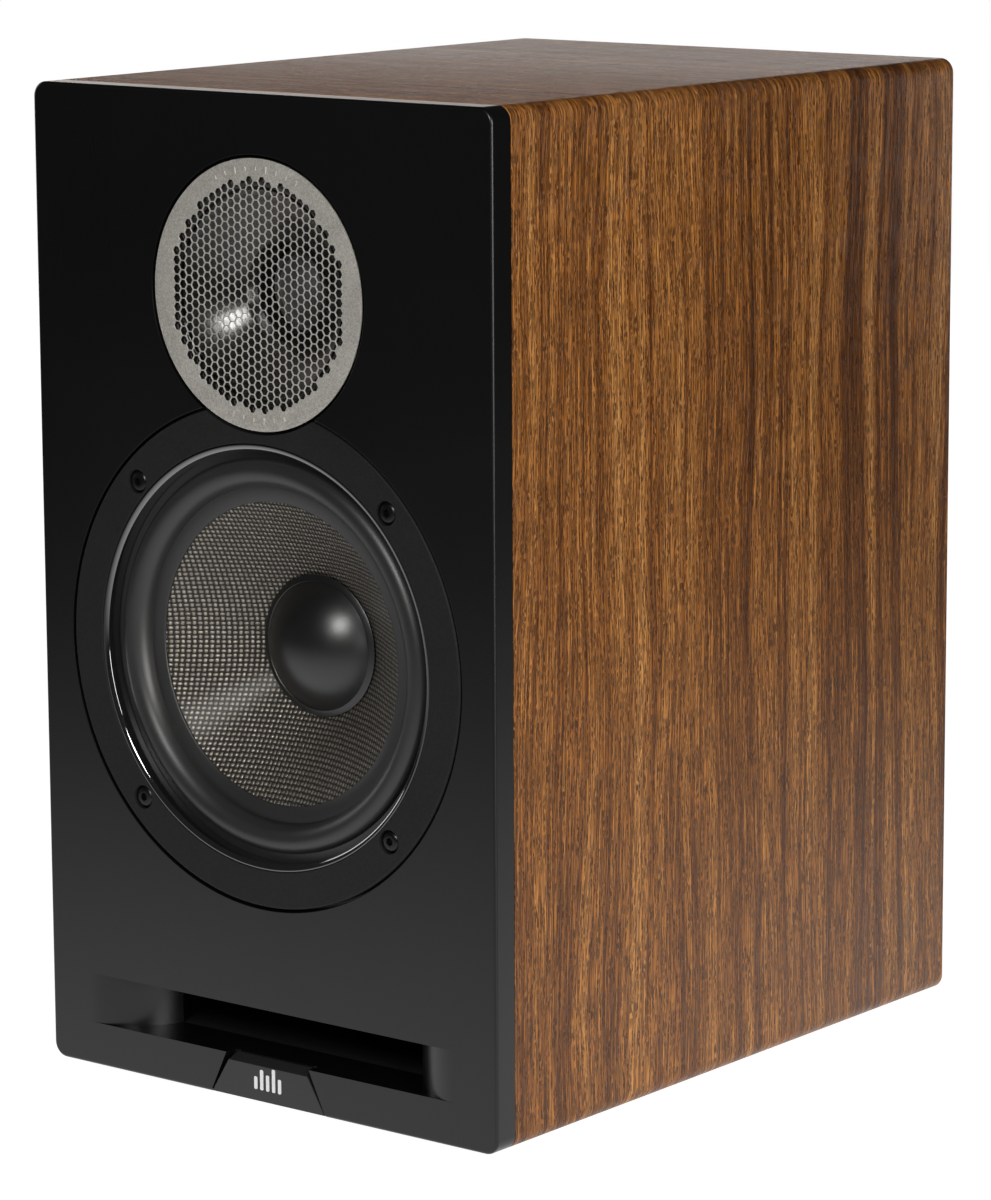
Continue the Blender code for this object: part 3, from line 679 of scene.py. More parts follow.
def makeCapacitorWrap():
    # a rolled film body with darker potting at its ends
    material, tree, shader, place = startMaterial("capacitorWrap")
    split = axesOf(tree, place)
    fine, broad = addGrain(tree, place, 300, 25)
    low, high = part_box("series_capacitor")
    off = calc(tree, "ABSOLUTE", calc(tree, "SUBTRACT", split["Y"], (low.y + high.y) / 2))
    cap = calc(tree, "GREATER_THAN", off, (high.y - low.y) / 2 - 0.6 * mm)
    body = mixColours(tree, broad, (0.42, 0.26, 0.05, 1), (0.62, 0.42, 0.10, 1))
    feed(tree, shader, {
        "Base Color": mixColours(tree, cap, body, (0.10, 0.08, 0.05, 1)),
        "Roughness": spread(tree, cap, 0.28, 0.7),
        "Normal": addBump(tree, fine, 0.00003),
    })
    return material


finishes = {
    "satin_black": grainedFinish("satinLacquer", specular=0.45),
    "walnut": makeWalnut(),
    "fibreboard": makeFibreboard(),
    "cast_frame": grainedFinish("castFrame", specular=0.12),
    "gloss_ring": grainedFinish("polishedRing", coat=1.0, coatRoughness=0.03, coatIndex=2.3),
    "black_screw": grainedFinish("blackOxide", metallic=0.9),
    "rubber": grainedFinish("satinRubber", specular=0.65),
    "woven_cone": makeConeCloth(),
    "spider_cloth": makeThreadCloth("spiderCloth"),
    "foam": grainedFinish("openFoam"),
    "steel": makeSteel(),
    "ferrite": grainedFinish("ferrite"),
    "copper": makeWire("coilWire"),
    "kapton": grainedFinish("polyimideFilm"),
    "grille": grainedFinish("champagnePaint", metallic=0.55),
    "dome_cloth": makeThreadCloth("domeCloth"),
    "moulded_black": grainedFinish("mouldedBlack"),
    "gold": grainedFinish("goldPlate", metallic=1.0),
    "red_plastic": grainedFinish("redPlastic"),
    "board": makeBoard(),
    "capacitor_wrap": makeCapacitorWrap(),
    "resistor_ceramic": grainedFinish("resistorCement"),
}
inductorWire = makeWire("inductorWire")
capFinish = grainedFinish("capFinish", specular=0.8)
guideFinish = grainedFinish("guideSatin", specular=0.9)
markFinish = grainedFinish("brightPrint", metallic=0.3)

for row in frame["record"]["subparts"]:
    node = frame["nodes"][row["node"]]
    node.data.materials.clear()
    node.data.materials.append(finishes[row["material_slot"]])
for name in ("woofer_inductor", "tweeter_inductor"):
    frame["nodes"][name].data.materials[0] = inductorWire
print("materials")


# camera, floor and light

cameraSizes = {"place": (1.07819, -1.35904, 0.48728), "yaw": 0.67312, "pitch": 0.1842, "roll": -0.00529,
               "lens": 142.15, "sensor": 36.0}


def addCamera():
    deselectAll()
    bpy.ops.object.camera_add(location=cameraSizes["place"])
    camera = bpy.context.object
    camera.name = "camera"
    yaw, tilt, roll = cameraSizes["yaw"], math.pi / 2 - cameraSizes["pitch"], cameraSizes["roll"]
    turn = Matrix.Rotation(yaw, 3, "Z") @ Matrix.Rotation(tilt, 3, "X") @ Matrix.Rotation(roll, 3, "Z")
    camera.rotation_euler = turn.to_euler()
    camera.data.sensor_fit = "VERTICAL"
    camera.data.sensor_height = cameraSizes["sensor"]
    camera.data.lens = cameraSizes["lens"]
    camera.data.clip_end = 50
    bpy.context.scene.camera = camera


lampSizes = {
    # name: place, aimed at, width, height, watts, colour
    "keySoft": ((0.58, -1.70, 1.03), (0.0, -0.1, 0.19), 0.45, 0.45, 15, (1.0, 0.99, 0.97)),
    "sideSoft": ((2.06, -0.84, 0.50), (0.1, 0.0, 0.16), 1.2, 1.2, 36, (1.0, 0.985, 0.96)),
    "backCard": ((-1.5, 1.95, 0.56), (0.0, 0.0, 0.36), 1.5, 0.42, 4.2, (1.0, 0.90, 0.85)),
    "leftFill": ((-2.3, -0.25, 0.62), (0.0, 0.0, 0.18), 1.2, 1.0, 8, (1.0, 1.0, 1.0)),
    "rearFill": ((-0.50, 2.3, 0.20), (0.0, 0.1, 0.18), 0.9, 0.36, 6, (1.0, 1.0, 1.0)),
}


def addLamps():
    for name, (place, target, width, height, watts, colour) in lampSizes.items():
        deselectAll()
        bpy.ops.object.light_add(type="AREA", location=place)
        lamp = bpy.context.object
        lamp.name = name
        lamp.data.shape = "RECTANGLE"
        lamp.data.size = width
        lamp.data.size_y = height
        lamp.data.energy = watts
        lamp.data.color = colour
        lamp.visible_camera = False
        lamp.rotation_euler = (Vector(target) - Vector(place)).to_track_quat("-Z", "Y").to_euler()


floorLook = {"reach": 3.0, "drop": 0.0002, "pool": 0.72, "glow": 1.05, "seen": 0.98, "tones": (0.24, 0.27)}


def seenOrFelt(tree, felt, seen, output):
    # what the camera sees, and what the object mirrors and is lit by
    ray = addNode(tree, "LightPath").outputs["Is Camera Ray"]
    mix = addNode(tree, "MixShader", {0: ray, 1: felt, 2: seen})
    tree.links.new(mix.outputs[0], tree.nodes[output].inputs["Surface"])


def addFloor():
    # white to the camera; what the object mirrors is a bright pool round it that falls off to dark
    look = floorLook
    deselectAll()
    bpy.ops.mesh.primitive_circle_add(vertices=96, radius=look["reach"], fill_type="NGON",
                                      location=(0, 0, -look["drop"]))
    floor = takeNew("floor")
    material, tree, shader, place = startMaterial("paleFloor")
    fine, broad = addGrain(tree, place, 300, 3)
    feed(tree, shader, {
        "Base Color": mixColours(tree, broad, *[(*grey(tone), 1) for tone in look["tones"]]),
        "Roughness": 0.8,
        "Specular IOR Level": 0.1,
        "Emission Color": (1, 1, 1, 1),
        "Emission Strength": look["seen"],
    })
    reach = addNode(tree, "VectorMath", {0: place}, operation="LENGTH").outputs["Value"]
    share = calc(tree, "DIVIDE", reach, look["pool"])
    pool = calc(tree, "EXPONENT", calc(tree, "MULTIPLY", calc(tree, "MULTIPLY", share, share), -1.0))
    strength = calc(tree, "MULTIPLY", pool, look["glow"])
    glow = addNode(tree, "Emission", {"Color": (1, 1, 1, 1), "Strength": strength})
    seenOrFelt(tree, glow.outputs[0], shader.outputs[0], "Material Output")
    floor.data.materials.append(material)


def setWorld():
    world = bpy.data.worlds.new("studio")
    bpy.context.scene.world = world
    world.use_nodes = True
    tree = world.node_tree
    seen = feed(tree, tree.nodes["Background"], {"Color": (1, 1, 1, 1), "Strength": 1.0})
    felt = addNode(tree, "Background", {"Color": (0.9, 0.95, 1.0, 1), "Strength": 0.03})
    seenOrFelt(tree, felt.outputs[0], seen.outputs[0], "World Output")
    bpy.context.scene.view_settings.view_transform = "Standard"


addCamera()
addLamps()
addFloor()
setWorld()
print("camera, floor and lamps")


# cabinet

cabinetSizes = {
    # millimetres; depths are measured from the front
    "corner": 5.5,
    "cornerSteps": 10,
    "skin": 0.5,
    "skinRound": 0.15,
    "frontRound": 1.2,
    "gap": 0.3,
    "plugRise": 0.8,
    "recessRound": 0.7,
    "discRecess": 48.6,
    "discDeep": 5.0,
    "guideHole": 42.4,
    "flangeRecess": 90.3,
    "flangeDeep": 5.6,
    "tubHole": 78.5,
    "before": -1,
    "through": 22,
    "pilot": (2.1, 3, 19),  # radius, from, to
    "slotMouth": 85.0,
    "slotThroat": 58.0,
    "slotLow": 18.0,
    "slotHigh": 36.5,
    "plug": 20.0,
    "slotRound": 0.7,
    "notch": (28, 18, 21, 6),  # half widths at its foot and top, height, depth
}


def roundCorners(piece):
    bevelEdges(piece, isAlongY, cabinetSizes["corner"], cabinetSizes["cornerSteps"])


def makeWrap():
    low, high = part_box("walnut_wrap")
    piece = addCube("walnutWrap", low, high)
    roundCorners(piece)
    startEdit(piece)
    pickFaces(piece, lambda middle, normal: abs(normal.y) > 0.9)
    bpy.ops.mesh.delete(type="FACE")
    endEdit()
    # the map unrolls the wrap: U is the depth, V goes round the outside from the middle of the bottom
    radius = cabinetSizes["corner"] * mm
    halfX, halfZ = (high.x - low.x) / 2, (high.z - low.z) / 2
    centre = (low + high) / 2
    flatX, flatZ, bend = halfX - radius, halfZ - radius, radius * math.pi / 2

    def roundPlace(x, z):
        side = 1 if x >= 0 else -1
        x = abs(x)
        if z < -flatZ and x <= flatX + 1e-7:
            return side * x
        if z > flatZ and x <= flatX + 1e-7:
            return side * (2 * flatX + 2 * flatZ + 2 * bend - x)
        if abs(z) <= flatZ + 1e-7:
            return side * (flatX + bend + z + flatZ)
        turn = math.atan2(abs(z) - flatZ, x - flatX)
        if z < 0:
            return side * (flatX + bend - radius * turn)
        return side * (flatX + bend + 2 * flatZ + radius * turn)

    layer = piece.data.uv_layers.active or piece.data.uv_layers.new(name="unrolled")
    whole = 4 * flatX + 4 * flatZ + 4 * bend
    for face in piece.data.polygons:
        middle = roundPlace(face.center.x - centre.x, face.center.z - centre.z)
        for corner in face.loop_indices:
            place = piece.data.vertices[piece.data.loops[corner].vertex_index].co
            v = roundPlace(place.x - centre.x, place.z - centre.z)
            v += whole * round((middle - v) / whole)
            layer.data[corner].uv = (place.y, v)
    applyModifier(piece, "SOLIDIFY", thickness=cabinetSizes["skin"] * mm, offset=-1.0, use_even_offset=True)

    def openRim(a, b):
        atEnd = abs(a.y - low.y) < 1e-5 or abs(a.y - high.y) < 1e-5
        return isAtDepth(a, b.y) and atEnd and onOutside(a, low, high) and onOutside(b, low, high)

    bevelEdges(piece, lambda a, b: openRim(a, b) and not isAlongY(a, b), cabinetSizes["skinRound"], 2)
    finishPiece(smoothed(piece, 25), finishes["walnut"], "cabinet", "walnut", "walnut_wrap")


def onOutside(point, low, high):
    # whether the point lies on the outer face of the wrap, and not on its inner one
    inset = cabinetSizes["skin"] * mm * 0.5
    radius = cabinetSizes["corner"] * mm
    centre = (low + high) / 2
    x = max(abs(point.x - centre.x) - (high.x - low.x) / 2 + radius, 0.0)
    z = max(abs(point.z - centre.z) - (high.z - low.z) / 2 + radius, 0.0)
    if x > 0 and z > 0:
        return math.hypot(x, z) > radius - inset
    return max(x, z) > radius - inset


def slotPlan():
    # (x, depth) of half the slot from the mouth to the throat: an arc that starts flush with the front
    run = cabinetSizes["slotMouth"] - cabinetSizes["slotThroat"]
    plug = cabinetSizes["plug"]
    radius = (run**2 + plug**2) / (2 * plug)
    sweep = math.asin(run / radius)
    flare = curved(0, sweep, 24, lambda a: (-cabinetSizes["slotMouth"] + radius * math.sin(a),
                                            radius * (1 - math.cos(a))))
    return [(-cabinetSizes["slotMouth"], -2.0)] + flare + [(-cabinetSizes["slotThroat"], plug + 4)]


def makeBaffle():
    sizes = cabinetSizes
    low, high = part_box("front_baffle")
    gap, before, through = sizes["gap"] * mm, sizes["before"], sizes["through"]
    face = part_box("walnut_wrap")[0].y - gap
    piece = addCube("frontBaffle", low, (high.x, face, high.z))
    roundCorners(piece)
    bevelRim(piece, lambda point: isAtDepth(point, low.y), sizes["frontRound"], 5)
    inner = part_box("right_panel")[0].x - gap
    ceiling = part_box("top_panel")[0].z - gap
    base = low.z + sizes["plugRise"] * mm
    cutWith(piece, addCube("bafflePlug", (-inner, face - mm, base), (inner, high.y, ceiling)), operation="UNION")
    discHole = steppedHole(before, sizes["discRecess"], sizes["discDeep"], sizes["guideHole"], through)
    coneHole = steppedHole(before, sizes["flangeRecess"], sizes["flangeDeep"], sizes["tubHole"], through)
    half = slotPlan()
    plan = half + [(-x, d) for x, d in reversed(half)]
    slot = extrudeOutline("slotCutter", [(x * mm, behind(d), sizes["slotLow"] * mm) for x, d in plan],
                          (0, 0, (sizes["slotHigh"] - sizes["slotLow"]) * mm))
    foot, top, tall, deep = sizes["notch"]
    notch = [(x * mm, behind(before), z * mm) for x, z in ((-foot, 0), (foot, 0), (top, tall), (-top, tall))]
    cutWith(piece, spinPiece("discCutter", discHole, tweeterAxis, 144),
            spinPiece("coneCutter", coneHole, wooferAxis, 180), slot,
            extrudeOutline("notchCutter", notch, (0, deep * mm, 0)))
    for number in range(4):
        cutWith(piece, addRound("pilot", *sizes["pilot"], screwPlace(number), 16))

    def recessRim(point):
        toCone = reachFrom(point, wooferAxis) - sizes["flangeRecess"] * mm
        toDisc = reachFrom(point, tweeterAxis) - sizes["discRecess"] * mm
        return isAtDepth(point, low.y) and (abs(toCone) < 3e-5 or abs(toDisc) < 3e-5)

    def slotRim(point):
        level = min(abs(point.z - sizes["slotLow"] * mm), abs(point.z - sizes["slotHigh"] * mm)) < 1e-5
        return isAtDepth(point, low.y) and level and abs(point.x) < sizes["slotMouth"] * mm + 1e-5

    bevelRim(piece, recessRim, sizes["recessRound"], 2)
    bevelRim(piece, slotRim, sizes["slotRound"], 3)
    finishPiece(smoothed(piece, 24, True), finishes["satin_black"], "cabinet", "satin_black", "front_baffle")


screwSizes = {"circle": 81.2, "firstTurn": 45, "head": 4.0, "top": 0.3, "under": 2.0, "shank": 1.8,
              "tip": 18.0, "crown": [(2.2, 0.0), (2.9, 0.15), (3.5, 0.5), (3.85, 1.0)], "point": 1.5, "socket": 1.55,
              "socketDeep": 1.5}


def screwPlace(number):
    turn = math.radians(screwSizes["firstTurn"] + 90 * number)
    reach = screwSizes["circle"] * mm
    return Vector((wooferAxis.x + reach * math.cos(turn), 0, wooferAxis.z + reach * math.sin(turn)))


badgeSizes = {"foot": 26.6, "top": 18.6, "rise": 13.1, "lean": (17.0 / 18.6, 0.26, 1), "edge": 0.22,
              "frontOnly": 4.5, "bars": [4.6, 7.4, 5.8, 8.4, 5.2], "barWidth": 1.5, "barRound": 0.5,
              "gap": 1.3, "raise": 0.12, "base": 4.4, "sunk": 0.1}


def makeBadge():
    # the plate leans back above its front edge; the mark is a row of upright bars of different heights
    sizes = badgeSizes
    low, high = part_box("badge_plate")
    front, back = low.y, high.y
    bend = low.z + sizes["rise"] * mm
    plan = [(-sizes["foot"], low.z), (sizes["foot"], low.z), (sizes["top"], bend), (-sizes["top"], bend)]
    piece = extrudeOutline("badgePlate", [(x * mm, front, z) for x, z in plan], (0, back - front, 0))
    startEdit(piece)
    pickFaces(piece, lambda middle, normal: normal.z > 0.9)
    bpy.ops.mesh.extrude_region_move(TRANSFORM_OT_translate={"value": (0, 0, high.z - bend)})
    bpy.ops.transform.resize(value=sizes["lean"], center_override=(0, back, high.z))
    endEdit()
    limit = front + sizes["frontOnly"] * mm
    bevelEdges(piece, lambda a, b: max(a.y, b.y) < limit and min(a.y, b.y) < front + 1e-5, sizes["edge"], 2)
    finishPiece(smoothed(piece, 20, True), finishes["moulded_black"], "cabinet", "satin_black", "badge_plate")
    pitch = sizes["barWidth"] + sizes["gap"]
    start = -pitch * (len(sizes["bars"]) - 1) / 2
    base = low.z + sizes["base"] * mm
    bars = []
    for number, tall in enumerate(sizes["bars"]):
        x = start + pitch * number
        bar = addCube("bar", ((x - sizes["barWidth"] / 2) * mm, front - sizes["raise"] * mm, base - 0.1 * mm),
                      ((x + sizes["barWidth"] / 2) * mm, front + sizes["sunk"] * mm, base + tall * mm))
        bevelEdges(bar, isAlongY, sizes["barRound"], 3)
        bars.append(bar)
    finishPiece(smoothed(joined("badgeMark", bars), 30), markFinish, "cabinet", "satin_black")


footSizes = {"sides": 64, "round": 0.35, "rim": 1.2, "step": (0.3, -0.25)}


def makeFeet():
    sizes = footSizes
    wide, deep = sizes["step"]
    for number in range(1, 5):
        node = f"foot_pad_{number}"
        low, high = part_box(node)
        centre = (low + high) / 2
        deselectAll()
        bpy.ops.mesh.primitive_cylinder_add(vertices=sizes["sides"], radius=(high.x - low.x) / 2,
                                            depth=high.z - low.z, location=centre)
        pad = takeNew("foot" + str(number))
        bevelEdges(pad, lambda a, b: abs(a.z - b.z) < 1e-6, sizes["round"], 3)
        startEdit(pad)
        pickFaces(pad, lambda middle, normal: normal.z < -0.9 and abs(middle.x - centre.x) < mm)
        bpy.ops.mesh.inset(thickness=sizes["rim"] * mm)
        bpy.ops.mesh.inset(thickness=wide * mm, depth=deep * mm)
        endEdit()
        finishPiece(smoothed(pad, 30), finishes["rubber"], "cabinet", "rubber", node)


makeWrap()
makeBaffle()
makeBadge()
makeFeet()
print("cabinet")


# woofer

wooferSizes = {"bore": 76.0, "cone": 54.6, "neck": 19.5}
frameSizes = {
    # outlines are (radius, depth) points
    "edge": (89.4, 0.9),
    "lip": 0.35,
    "inside": [(76.0, 8.3), (71.2, 8.3), (71.2, 13), (50.5, 43.5), (50.5, 47), (43.5, 47), (43.5, 50.4),
               (24, 50.4)],
    "outside": [(24, 53), (47, 53), (53.3, 47.5), (53.3, 44.5), (78.0, 14), (78.0, 4), (89.4, 4)],
    "discGap": (-2, 9),
    "windows": 6,
    "windowTurns": (-19, -6.5, 6.5, 19),
    "windowReach": (46, 82),
    "windowDepth": (18, 22),
    "counterbore": (4.3, 2.3, 2.1, 7),
    "rimRound": 0.25,
}


def makeFrame():
    sizes, bore = frameSizes, wooferSizes["bore"]
    flange, edge = sizes["edge"]
    lip = sizes["lip"]
    profile = roundTo((flange - edge, edge), edge, 0, -90, 4) + roundTo((bore + lip, lip), lip, -90, -180, 3)
    piece = spinPiece("wooferFrame", profile + sizes["inside"] + sizes["outside"], wooferAxis, 180)
    cutWith(piece, addRound("discClearance", cabinetSizes["discRecess"], *sizes["discGap"], tweeterAxis, 144))
    start, deep = sizes["windowDepth"]
    windows = []
    for number in range(sizes["windows"]):
        turns = [math.radians(360 // sizes["windows"] * number + turn) for turn in sizes["windowTurns"]]
        inner, outer = [[(reach * mm * math.cos(a), reach * mm * math.sin(a)) for a in turns]
                        for reach in sizes["windowReach"]]
        points = [(wooferAxis.x + x, behind(start), wooferAxis.z + z) for x, z in inner + outer[::-1]]
        windows.append(extrudeOutline("window", points, (0, deep * mm, 0)))
    cutWith(piece, joined("windows", windows))
    head = sizes["counterbore"][0]
    for number in range(4):
        hole = steppedHole(cabinetSizes["before"], *sizes["counterbore"])
        cutWith(piece, spinPiece("counterbore", hole, screwPlace(number), 40))

    def rim(point):
        nearest = min(reachFrom(point, screwPlace(number)) for number in range(4))
        toDisc = reachFrom(point, tweeterAxis) - cabinetSizes["discRecess"] * mm
        return abs(point.y - frontFace) <= 1e-5 and (nearest < (head + 0.03) * mm or abs(toDisc) < 3e-5)

    bevelRim(piece, rim, sizes["rimRound"], 2)
    finishPiece(smoothed(piece, 28, True), finishes["cast_frame"], "cabinet", "cast_frame", "woofer_basket")


ringSizes = {"gap": 0.25, "crown": 2.3, "turn": 47, "top": 0.35, "start": 0.36, "chamfer": 0.2, "base": 6.7,
             "step": (0.08, 0.12)}


def makeTrimRing():
    # a crowned lip that turns down towards the cone
    sizes = ringSizes
    outer, crown = wooferSizes["bore"] - sizes["gap"], sizes["crown"]
    lip = curved(0, math.radians(sizes["turn"]), 10, lambda a: (
        outer - sizes["chamfer"] - crown * math.sin(a), sizes["top"] + crown * (1 - math.cos(a))))
    reach, fall = lip[-1]
    back, down = sizes["step"]
    profile = [(outer, sizes["base"]), (outer, sizes["start"])] + lip
    profile += [(reach - back, fall + down), (reach - back, sizes["base"])]
    piece = spinPiece("trimRing", profile, wooferAxis, 200)
    finishPiece(smoothed(piece, 32), finishes["gloss_ring"], "cabinet", "gloss_ring", "woofer_trim_ring")


def halfRoll(middle, reach, outerBase, innerBase, rise, steps):
    def point(share):
        base = outerBase + (innerBase - outerBase) * share
        return (middle + reach * math.cos(math.pi * share), base - rise * math.sin(math.pi * share))
    return curved(0, 1, steps, point)


def finishBent(piece, finish, node, body, inner, outer):
    # the piece bends across the joint: still at its outer radius, and moving with the cone at its inner one
    low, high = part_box(node)
    middle = (low + high) / 2
    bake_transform(piece, "cabinet", body, start=(middle.x + outer * mm, middle.y, middle.z),
             end=(middle.x + inner * mm, middle.y, middle.z))
    weights = piece.data.attributes["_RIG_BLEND"].data
    for vertex, weight in zip(piece.data.vertices, weights):
        share = min(max((outer - reachFrom(vertex.co, middle) / mm) / (outer - inner), 0.0), 1.0)
        weight.value = share * share * (3 - 2 * share)
    dressPiece(piece, finishes[finish], finish, node)


surroundSizes = {"roll": 65.3, "half": 5.2, "rise": 5.0, "land": 0.6, "lip": 0.4, "front": (6.9, 9.3),
                 "back": (8.0, 10.2), "thin": (0.9, 0.4), "landDepth": (7.0, 8.0), "lipDepth": (9.4, 9.7)}


def makeSurround():
    sizes = surroundSizes
    land, lip = wooferSizes["bore"] - sizes["land"], wooferSizes["cone"] - sizes["lip"]
    roll, half, rise = sizes["roll"], sizes["half"], sizes["rise"]
    narrower, lower = sizes["thin"]
    landFront, landBack = sizes["landDepth"]
    lipFront, lipEnd = sizes["lipDepth"]
    front = [(land, landFront), (roll + half + 0.5, landFront)]
    front += halfRoll(roll, half, *sizes["front"], rise, 24)
    front += [(roll - half - 0.5, lipFront), (lip + 0.3, lipFront), (lip, lipEnd)]
    back = halfRoll(roll, half - narrower, *sizes["back"], rise - lower, 16)[::-1]
    profile = front + [(lip, sizes["back"][1])] + back + [(land, landBack)]
    piece = smoothed(spinPiece("wooferSurround", profile, wooferAxis, 160), 62)
    finishBent(piece, "rubber", "woofer_surround", "woofer_moving", roll - half, roll + half)


spiderSizes = {"waves": 3, "reach": 24, "level": 46.0, "rise": 1.3, "thick": 0.5, "steps": 42, "bend": (3, 4)}


def makeSpider():
    sizes = spiderSizes
    low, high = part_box("woofer_spider")
    start, level, thick = wooferSizes["neck"], sizes["level"], sizes["thick"]
    top = curved(0, 1, sizes["steps"], lambda share: (
        start + sizes["reach"] * share, level - sizes["rise"] * math.sin(tau * sizes["waves"] * share)))
    outer = (high.x - low.x) / 2 / mm
    profile = [(outer, level)] + top[::-1] + [(r, d + thick) for r, d in top] + [(outer, level + thick)]
    piece = smoothed(spinPiece("wooferSpider", profile, wooferAxis, 96), 50)
    inner, rim = sizes["bend"]
    finishBent(piece, "spider_cloth", "woofer_spider", "woofer_moving", start + inner, outer - rim)


coneSizes = {"top": 10.6, "deep": 25.7, "bow": 0.5, "flange": 4.6, "thick": 1.2}


def makeCone():
    sizes = coneSizes
    edge, neck, top = wooferSizes["cone"], wooferSizes["neck"], sizes["top"]
    wall = curved(0, 1, 10, lambda share: (
        edge + (neck - edge) * share, top + sizes["deep"] * share + sizes["bow"] * math.sin(math.pi * share)))
    front = [(edge + sizes["flange"], top), (edge, top)] + wall[1:]
    back = [(r, d + sizes["thick"]) for r, d in front[::-1]]
    piece = spinPiece("wooferCone", front + back, wooferAxis, 144)
    finishPiece(smoothed(piece, 35), finishes["woven_cone"], "woofer_moving", "woven_cone", "woofer_cone")


capSizes = {"rim": 25.6, "collar": 22.9, "base": 30.3, "apex": 19.9, "step": [(0.25, 0.25), (0.5, 0.1)],
            "edge": [(-0.3, 31.0), (0.0, 31.2), (-0.9, 31.6)], "inside": (1.2, 0.96, 0.9)}


def makeDustCap():
    # a domed cap inside a flat collar that is glued to the cone
    sizes = capSizes
    rim, collar, base, apex = sizes["rim"], sizes["collar"], sizes["base"], sizes["apex"]
    rise = base - apex
    radius = (collar**2 + rise**2) / (2 * rise)
    dome = curved(0, math.asin(collar / radius), 22, lambda a: (
        radius * math.sin(a), apex + radius * (1 - math.cos(a))))
    step = [(collar + r, base + d) for r, d in sizes["step"]]
    edge = [(rim + r, d) for r, d in sizes["edge"]]
    lower, narrow, thick = sizes["inside"]
    inside = [(r * narrow, d + thick) for r, d in dome[-2::-1]]
    piece = spinPiece("dustCap", dome + step + edge + [(collar, base + lower)] + inside, wooferAxis, 128)
    finishPiece(smoothed(piece, 30), capFinish, "woofer_moving", "moulded_black", "woofer_dust_cap")


def copyScrews(screw, places, pieceName, nodeName):
    # the finished screw is copied from the first place to all of them
    smoothed(screw, 35, True)
    for number, place in enumerate(places, 1):
        other = copyMoved(screw, f"{pieceName}{number}", place - places[0])
        finishPiece(other, finishes["black_screw"], "cabinet", "black_screw", f"{nodeName}_{number}")
    bpy.data.objects.remove(screw, do_unlink=True)


def makeScrews():
    sizes = screwSizes
    top, under, shank, tip = sizes["top"], sizes["under"], sizes["shank"], sizes["tip"]
    places = [screwPlace(number) for number in range(4)]
    profile = [(0, top)] + [(r, top + d) for r, d in sizes["crown"]]
    profile += [(sizes["head"], under), (shank, under), (shank, tip - sizes["point"]), (0, tip)]
    screw = spinPiece("screw", profile, places[0], 40, closed=False)
    cutWith(screw, addRound("hexSocket", sizes["socket"], -1, top + sizes["socketDeep"], places[0], 6))
    copyScrews(screw, places, "wooferScrew", "woofer_screw")


makeFrame()
makeTrimRing()
makeSurround()
makeSpider()
makeCone()
makeDustCap()
makeScrews()
print("woofer")


# tweeter

grilleSizes = {"disc": 47.4, "front": 0.3, "thick": 0.5, "pitch": 3.3, "web": 0.36, "field": 39.75,
               "softEdge": 0.05, "rim": 0.2, "tick": (0.75, 2.5, 0.3), "shortTick": 0.62, "tickRound": 0.2,
               "tickCircle": 43.7, "ticks": [(90, 9, 6.2), (270, 6, 6.2)]}


